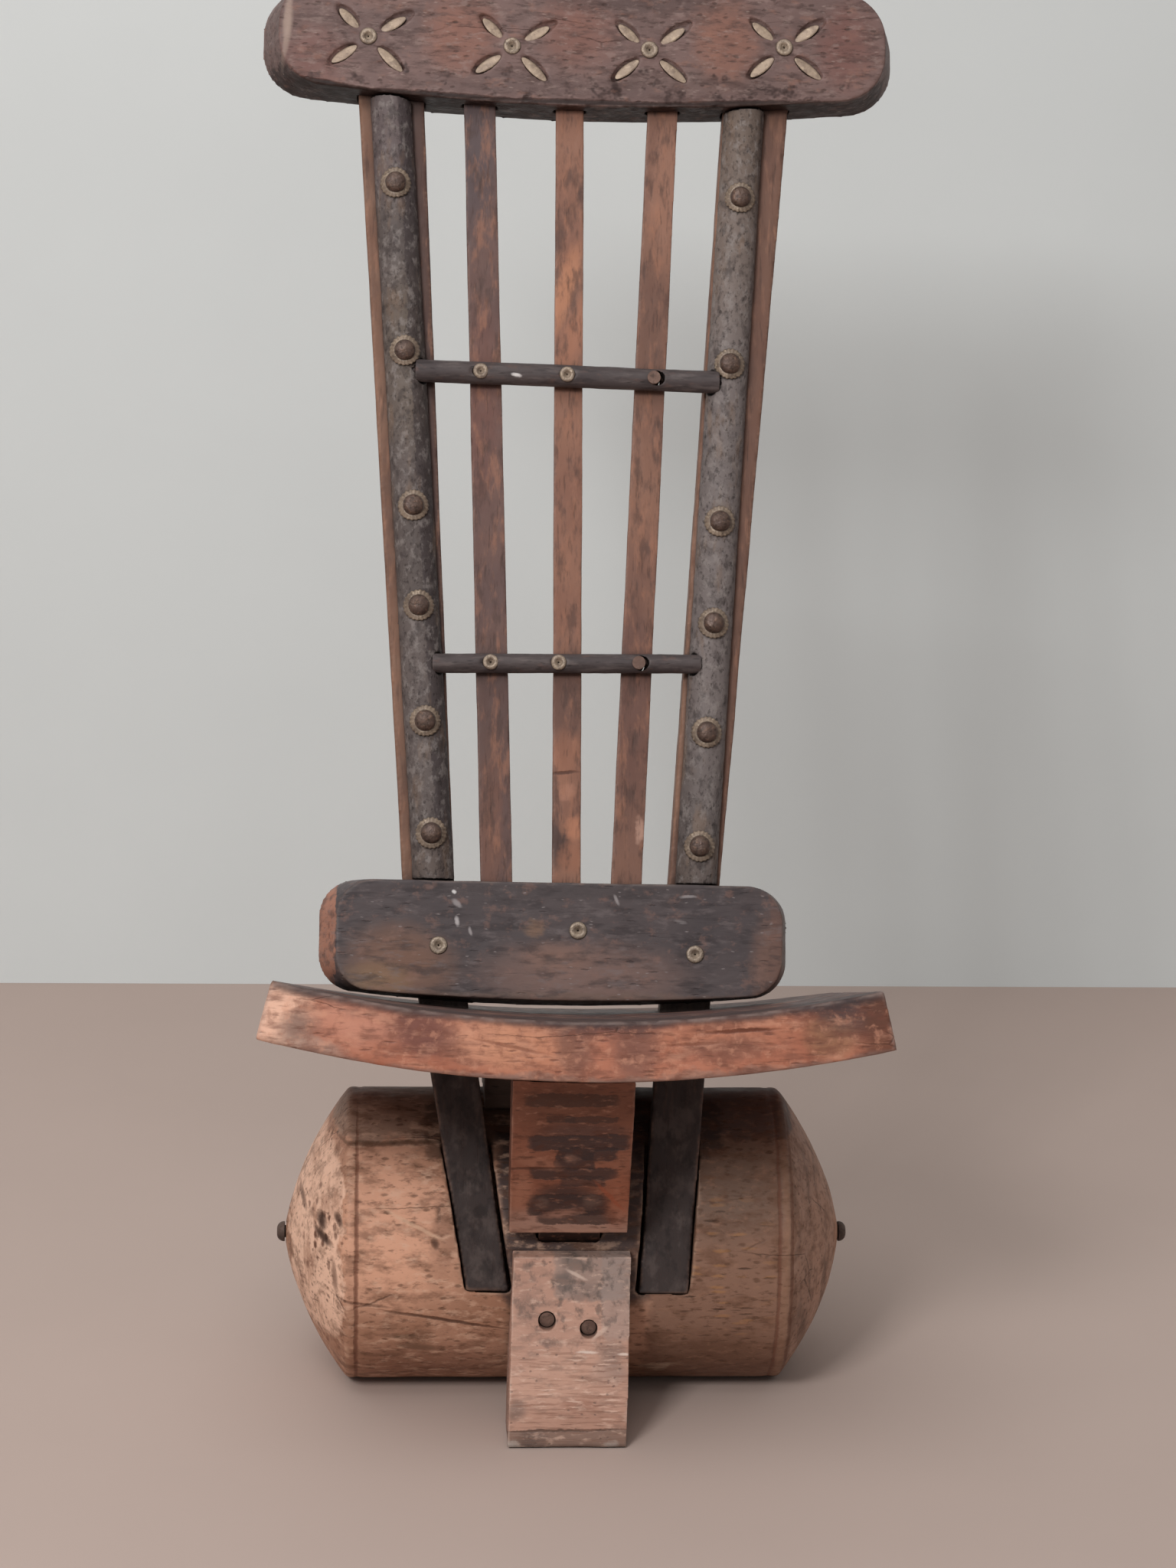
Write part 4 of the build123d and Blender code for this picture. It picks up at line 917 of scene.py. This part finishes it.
# Split and scraped laths, each with its own tone, streaked along their length and rubbed bare in places
slatValues = {
    "voxel": 1.1,
    "face": (3, 20),
    "smoothing": 3,
    "relief": [("CLOUDS", (20, 70, 20), 0.7), ("CLOUDS", (4, 12, 4), 0.25)],
    "frame": backFrame,
    "drift": 9,
    "driftSize": 10,
    "tones": [
        ("#9c6d57", (7, 24, 9), 0.5, 0.69, 0.5, 0.04),
        ("#4b3934", (6, 20, 8), 0.48, 0.67, 0.6, -0.08),
        ("#3f2e28", (2.2, 18, 3), 0.54, 0.71, 0.5, -0.14),
    ],
    "worn": ("#a18275", 0.508, 0.56, 0.45),
    "cornerDirtAndShade": ("#1d1512", 7, 0.75),
    "rough": (0.5, 0.68),
}
slatTones = {
    "left": {
        "base": ("#614b47", "#6c524b"),
        "patches": [
            ("#524749", (-66, 560), (16, 60), 0.8),
            ("#7b5a4b", (-73, 470), (4, 90), 0.6, 3),
            ("#714a41", (-58, 390), (12, 60), 0.5),
            ("#805746", (-46, 110), (7, 60), 0.5),
            ("#53403c", (-46, 190), (14, 50), 0.5),
        ],
    },
    "centre": {
        "base": ("#815b4c", "#8b6453"),
        "patches": [
            ("#b07a5d", (-4, 468), (6, 30), 0.8, -16),
            ("#a8735a", (3, 438), (7, 26), 0.6, -20),
            ("#4c3b37", (9, 532), (5, 12), 0.8),
            ("#4c3b37", (-9, 500), (4, 14), 0.7),
            ("#5b443e", (0, 200), (14, 34), 0.75),
            ("#93644f", (0, 165), (10, 14), 0.6),
            ("#aa7a65", (2, 140), (6, 5), 0.7),
            ("#453836", (-4, 108), (9, 15), 0.85),
            ("#b1795e", (8, 116), (6, 8), 0.8),
            ("#96654f", (6, 98), (8, 10), 0.7),
        ],
        "lines": [("#4a3029", (-8, 152), (9, 153), 1.1, 0.8, -0.4)],
    },
    "right": {
        "base": ("#7a584b", "#846050"),
        "patches": [
            ("#946c5a", (60, 535), (9, 50), 0.7, -5),
            ("#5c443c", (52, 440), (9, 60), 0.5),
            ("#634740", (44, 200), (14, 80), 0.75),
            ("#c59c89", (49, 117), (3, 8), 0.6),
        ],
    },
}

for name, own in slatTones.items():
    values = {**slatValues, **own}
    dressedCopy(name + "Slat", "slat_" + name, name + "ScrapedLath", values)
print("back done")

# Whittled pegs that show their end grain, darker than the wood around them
pegValues = {
    "frame": logFrame,
    "base": ("#4b3d37", "#5c4b43"),
    "baseSize": 6,
    "tones": [
        ("#2f2622", (3, 3, 3), 0.5, 0.7, 0.6, -0.15),
        ("#77625a", (1.6, 1.6, 1.6), 0.55, 0.72, 0.5, 0.1),
    ],
    "cornerDirtAndShade": ("#1c1512", 6, 0.7),
    "rough": (0.5, 0.66),
}
pegWood = surface("darkPegEndGrain", pegValues)
for nodeName in ("drum_knob_left", "drum_knob_right", "saddle_pegs", "tail_dowels", "crest_pegs"):
    dressNode(nodeName, pegWood)
plugWood = surface("rubbedPegEndGrain", dict(pegValues, base=("#664f46", "#785f54")))
for nodeName in ("foot_pegs", "crossbar_plugs"):
    dressNode(nodeName, plugWood)
print("pegs done")

# Forged nails with a hammered dome, rusted to a dark brown, hardly metallic skin, paler where it is rubbed
nailValues = {
    "head": [(5.4, -6.6), (6.6, -6.4), (7, -4.8), (6.9, -3.4), (6.2, -1.9), (4.8, -0.85), (2.7, -0.2),
             (0, 0)],  # radius and height
    "sides": 26,
    "turnStep": 37,  # degrees from one nail to the next
    "dent": 2.4,  # mm across a hammer mark
    "dentDepth": 0.35,
    "frame": backFrame,
    "base": ("#524039", "#5f4b41"),
    "baseSize": 5,
    "tones": [
        ("#33261f", (3, 3, 3), 0.48, 0.66, 0.7, -0.15),
        ("#7f614f", (2.6, 2.6, 2.6), 0.53, 0.7, 0.6, 0.1),
    ],
    "cornerDirtAndShade": ("#191210", 4, 0.8),
    "rough": (0.42, 0.62),
    "shader": {"Metallic": 0.35},
}
rustedIron = surface("rustedForgedIron", nailValues)


def domeNail(v):
    nail = turned("nail", v["head"], v["sides"])
    pick(nail)
    bpy.ops.object.mode_set(mode="EDIT")
    bpy.ops.mesh.select_all(action="DESELECT")
    bpy.ops.mesh.select_non_manifold()
    bpy.ops.mesh.edge_face_add()
    bpy.ops.mesh.select_all(action="SELECT")
    bpy.ops.mesh.normals_make_consistent(inside=False)
    leaveEdit()
    finishWith(nail, "SUBSURF", levels=1, render_levels=1)
    texture = bpy.data.textures.new("hammerMarks", "VORONOI")
    texture.noise_scale = v["dent"] / 1000
    finishWith(nail, "DISPLACE", texture=texture, strength=-v["dentDepth"] / 1000, mid_level=0)
    bpy.data.textures.remove(texture)
    return nail


nail = domeNail(nailValues)
dressNode("slat_tacks", rustedIron)

# Thin rosettes of sheet brass with a fluted rim, gone dull and brown, that follow the strip they lie on
washerValues = {
    "rings": [(5.2, 0.1), (6.4, 0.5), (7.4, 0.75), (8.2, 0.45), (9, 0.3), (9.9, 0.15)],
    "flutes": 22,
    "fluteDepth": 0.45,
    "fluteReach": 0.03,  # in and out, as a share of the radius
    "thickness": 0.6,
    "sink": 0.4,
    "stripHalfWidth": 14,
    "stripHeight": 14.5,
    "stripLean": {"left": 4.25, "right": -2.9},
    "frame": backFrame,
    "base": ("#7c6b5d", "#8e7b6a"),
    "baseSize": 8,
    "tones": [
        ("#54463c", (4, 4, 4), 0.47, 0.66, 0.7, -0.05),
        ("#b7a48d", (2.4, 2.4, 2.4), 0.53, 0.7, 0.6, 0.05),
    ],
    "cornerDirtAndShade": ("#2a1f19", 4, 0.9),
    "rough": (0.44, 0.62),
    "shader": {"Metallic": 0.25},
}
brownedBrass = surface("brownedSheetBrass", washerValues)


def flutedWasher(v):
    washer = turned("washer", v["rings"], 4 * v["flutes"])
    inner, outer = v["rings"][1][0], v["rings"][-1][0]
    for vertex in washer.data.vertices:  # fluted more towards the rim, then laid over the strip's round
        across, along, height = (c * 1000 for c in vertex.co)
        reach = math.hypot(across, along)
        share = max(0, (reach - inner) / (outer - inner))
        wave = math.cos(v["flutes"] * math.atan2(along, across)) * share
        across, along = (c * (1 + v["fluteReach"] * wave) for c in (across, along))
        drop = v["stripHeight"] * (1 - math.sqrt(1 - (across / v["stripHalfWidth"]) ** 2))
        vertex.co = Vector((across, along, height + v["fluteDepth"] / 2 * (wave - share) - drop)) / 1000
    finishWith(washer, "SOLIDIFY", thickness=v["thickness"] / 1000, offset=-1)
    return washer


washer = flutedWasher(washerValues)
for side in ("left", "right"):
    spots = [{"x": s["x"], "y": s["y"], "z": s["high"], "turn": nailValues["turnStep"] * i}
             for i, s in enumerate(solidsOf("dome_nails_" + side, backFrame))]
    nails = setOut(side + "DomeNails", nail, backFrame, spots)
    dress(nails, rustedIron, "dome_nails_" + side)
    lean = washerValues["stripLean"][side]
    spots = [{"x": s["x"], "y": s["y"], "z": s["high"] - washerValues["sink"], "turn": lean}
             for s in solidsOf("nail_washers_" + side, backFrame)]
    washers = setOut(side + "NailWashers", washer, backFrame, spots)
    dress(washers, brownedBrass, "nail_washers_" + side)
bpy.data.objects.remove(nail)
bpy.data.objects.remove(washer)
print("nails and washers done")

# Tubular rivets of brass with a rolled rim at each end, brighter on the crown of the roll
rivetValues = {
    "through": {"crossbar_eyelets": 5, "board_eyelets": 5.6, "flower_eyelets": 5.6},  # outer radius
    "rim": [(0.5, -0.6), (1.7, -0.5), (2, 0.1), (2.6, 0.75), (3.5, 1), (4.4, 0.75), (5, 0.1), (4.7, -0.35),
            (3.4, -0.4), (2.7, -0.6)],
    "crown": 1,  # the rim's height
    "sides": 28,
    "turnStep": 50,
    "frame": backFrame,
    "base": ("#8d7c6d", "#9c8a78"),
    "baseSize": 4,
    "tones": [
        ("#65564b", (3, 3, 3), 0.47, 0.66, 0.7, -0.05),
        ("#bfae97", (2, 2, 2), 0.54, 0.7, 0.6, 0.03),
    ],
    "cornerDirtAndShade": ("#2d211a", 3, 0.85),
    "rough": (0.4, 0.58),
    "shader": {"Metallic": 0.25},
}
dullBrass = surface("tarnishedRivetBrass", rivetValues)


# The front rim's profile, then the same one turned round at the rear, a tube's length below
def tubularRivet(v, length):
    rear = [(radius, 2 * v["crown"] - length - height) for radius, height in reversed(v["rim"])]
    return turned("rivet", v["rim"] + rear + v["rim"][:1], v["sides"])


rivetPlaces = {nodeName: solidsOf(nodeName, backFrame) for nodeName in rivetValues["through"]}
for nodeName, radius in rivetValues["through"].items():
    holes = rivetPlaces[nodeName]
    rivet = tubularRivet(rivetValues, holes[0]["high"] - holes[0]["low"])
    wider = radius / max(ring for ring, height in rivetValues["rim"])
    spots = [{"x": s["x"], "y": s["y"], "z": s["high"] - rivetValues["crown"],
              "turn": rivetValues["turnStep"] * i, "along": wider, "across": wider}
             for i, s in enumerate(holes)]
    rivets = setOut(nodeName.replace("_eyelets", "Rivets"), rivet, backFrame, spots)
    dress(rivets, dullBrass, nodeName)
    bpy.data.objects.remove(rivet)
print("rivets done")

# Petals of thin beaten brass, pale and nearly matt, tilted so that their upper side lies deeper
petalValues = {
    "length": 28,  # mm, before each is fitted to its socket
    "width": 6.8,
    "thickness": 0.6,
    "steps": (28, 6),
    "pillow": 0.35,
    "tilt": 14,  # degrees
    "pointed": 0.6,  # the lower, the blunter its ends
    "proud": 0.1,
    "fromRivet": 0.3,
    "lower": 0.9,
    "shorter": {"upperRight": 0.74, "upperLeft": 0.86, "lowerLeft": 0.84, "lowerRight": 0.94},
    "frame": backFrame,
    "base": ("#a8937f", "#958170"),
    "baseSize": 7,
    "tones": [
        ("#7a675b", (5, 4, 4), 0.47, 0.66, 0.6, -0.05),
        ("#c9b49a", (4, 3, 3), 0.53, 0.7, 0.5, 0.05),
    ],
    "cornerDirtAndShade": ("#33261f", 3, 0.6),
    "rough": (0.44, 0.62),
    "shader": {"Metallic": 0.2},
}
beatenBrass = surface("beatenPetalBrass", petalValues)


def petalLeaf(v):
    pick()
    bpy.ops.mesh.primitive_grid_add(x_subdivisions=v["steps"][0], y_subdivisions=v["steps"][1], size=2)
    leaf = bpy.context.active_object
    leaf.name = "leaf"
    for vertex in leaf.data.vertices:  # drawn to a point at both ends and raised along the middle
        run, side = vertex.co.x, vertex.co.y
        taper = max(0, 1 - run * run) ** v["pointed"]
        vertex.co = Vector((run * v["length"] / 2, side * taper * v["width"] / 2,
                            v["pillow"] * (1 - side * side) * taper)) / 1000
    pick(leaf)
    editAll()
    bpy.ops.mesh.remove_doubles(threshold=0.00005)
    leaveEdit()
    finishWith(leaf, "SOLIDIFY", thickness=v["thickness"] / 1000, offset=-1)
    bpy.ops.object.shade_smooth()
    return leaf


def petalSpots(v, rivetsAtMiddle):
    flowers = [Vector((s["x"], s["y"])) for s in rivetsAtMiddle]
    spots = []
    for s in solidsOf("flower_inlays", backFrame):
        middle = Vector((s["x"], s["y"]))
        flower = min(flowers, key=lambda place: (place - middle).length)
        out = (middle - flower).normalized()
        runs = [(Vector((p.x, p.y)) - flower).dot(out) for p in s["points"]]
        quarter = ("upper" if out.y > 0 else "lower") + ("Right" if out.x > 0 else "Left")
        length = (max(runs) - min(runs)) * v["shorter"][quarter]
        centre = flower + out * (min(runs) + v["fromRivet"] + length / 2) + Vector((0, -v["lower"]))
        spots.append({"x": centre.x, "y": centre.y, "z": s["high"] + v["proud"],
                      "along": length / v["length"], "turn": math.degrees(math.atan2(out.y, out.x)),
                      "tilt": math.copysign(v["tilt"], -out.x)})
    return spots


leaf = petalLeaf(petalValues)
inlays = setOut("petalInlays", leaf, backFrame, petalSpots(petalValues, rivetPlaces["flower_eyelets"]))
dress(inlays, beatenBrass, "flower_inlays")
bpy.data.objects.remove(leaf)
print("petals done")

studioValues = {
    "floor": "#bba79d",
    "floorSize": 20,
    "floorSink": 0.0005,
    "wall": "#dde1e0",
    "wallSize": 8,
    "wallDistance": 0.82,  # metres behind the middle
    "keyPlace": (-1.2, -2.3, 2.05),
    "keySize": 0.7,
    "keyPower": 46,
    "overheadPlace": (-0.5, -0.9, 2.6),
    "overheadSize": 1.6,
    "overheadPower": 22,
    "worldLevel": 0.36,
}


def stagePlane(name, size, colour, singleSided):
    pick()
    bpy.ops.mesh.primitive_plane_add(size=size)
    plane = bpy.context.active_object
    plane.name = name
    material, tree = bareMaterial(name)
    place = addNode(tree, "TexCoord").outputs["Object"]
    cloud = addNode(tree, "TexNoise", None, {"Scale": 5, "Detail": 3}, {"Vector": place}).outputs[0]
    darker = tuple(c * 0.93 for c in linear(colour)[:3]) + (1,)
    tint = addNode(tree, "Mix", {"data_type": "RGBA"}, {6: linear(colour), 7: darker}, {0: cloud}).outputs[2]
    shader = addNode(tree, "BsdfPrincipled", None, {"Roughness": 0.8}, {"Base Color": tint}).outputs[0]
    if singleSided:
        clear = addNode(tree, "BsdfTransparent").outputs[0]
        back = addNode(tree, "NewGeometry").outputs["Backfacing"]
        shader = addNode(tree, "MixShader", None, None, {0: back, 1: shader, 2: clear}).outputs[0]
    addNode(tree, "OutputMaterial", None, None, {"Surface": shader})
    plane.data.materials.append(material)
    return plane


def addLamp(name, place, size, power):
    data = bpy.data.lights.new(name, "AREA")
    data.energy = power
    data.size = size
    lamp = bpy.data.objects.new(name, data)
    scene.collection.objects.link(lamp)
    lamp.location = place
    lamp.rotation_euler = (Vector((0, 0, 0.4)) - Vector(place)).to_track_quat("-Z", "Y").to_euler()


def lightStudio(v):
    floor = stagePlane("floor", v["floorSize"], v["floor"], False)
    floor.location.z = -v["floorSink"]
    wall = stagePlane("wall", v["wallSize"], v["wall"], True)
    wall.rotation_euler = (math.radians(90), 0, 0)
    wall.location = (0, v["wallDistance"], v["wallSize"] / 2)
    addLamp("keyLight", v["keyPlace"], v["keySize"], v["keyPower"])
    addLamp("overheadLight", v["overheadPlace"], v["overheadSize"], v["overheadPower"])
    world = bpy.data.worlds.new("studio")
    scene.world = world
    world.use_nodes = True
    world.node_tree.nodes["Background"].inputs["Color"].default_value = (1, 1, 1, 1)
    world.node_tree.nodes["Background"].inputs["Strength"].default_value = v["worldLevel"]


lightStudio(studioValues)
print("studio lit")
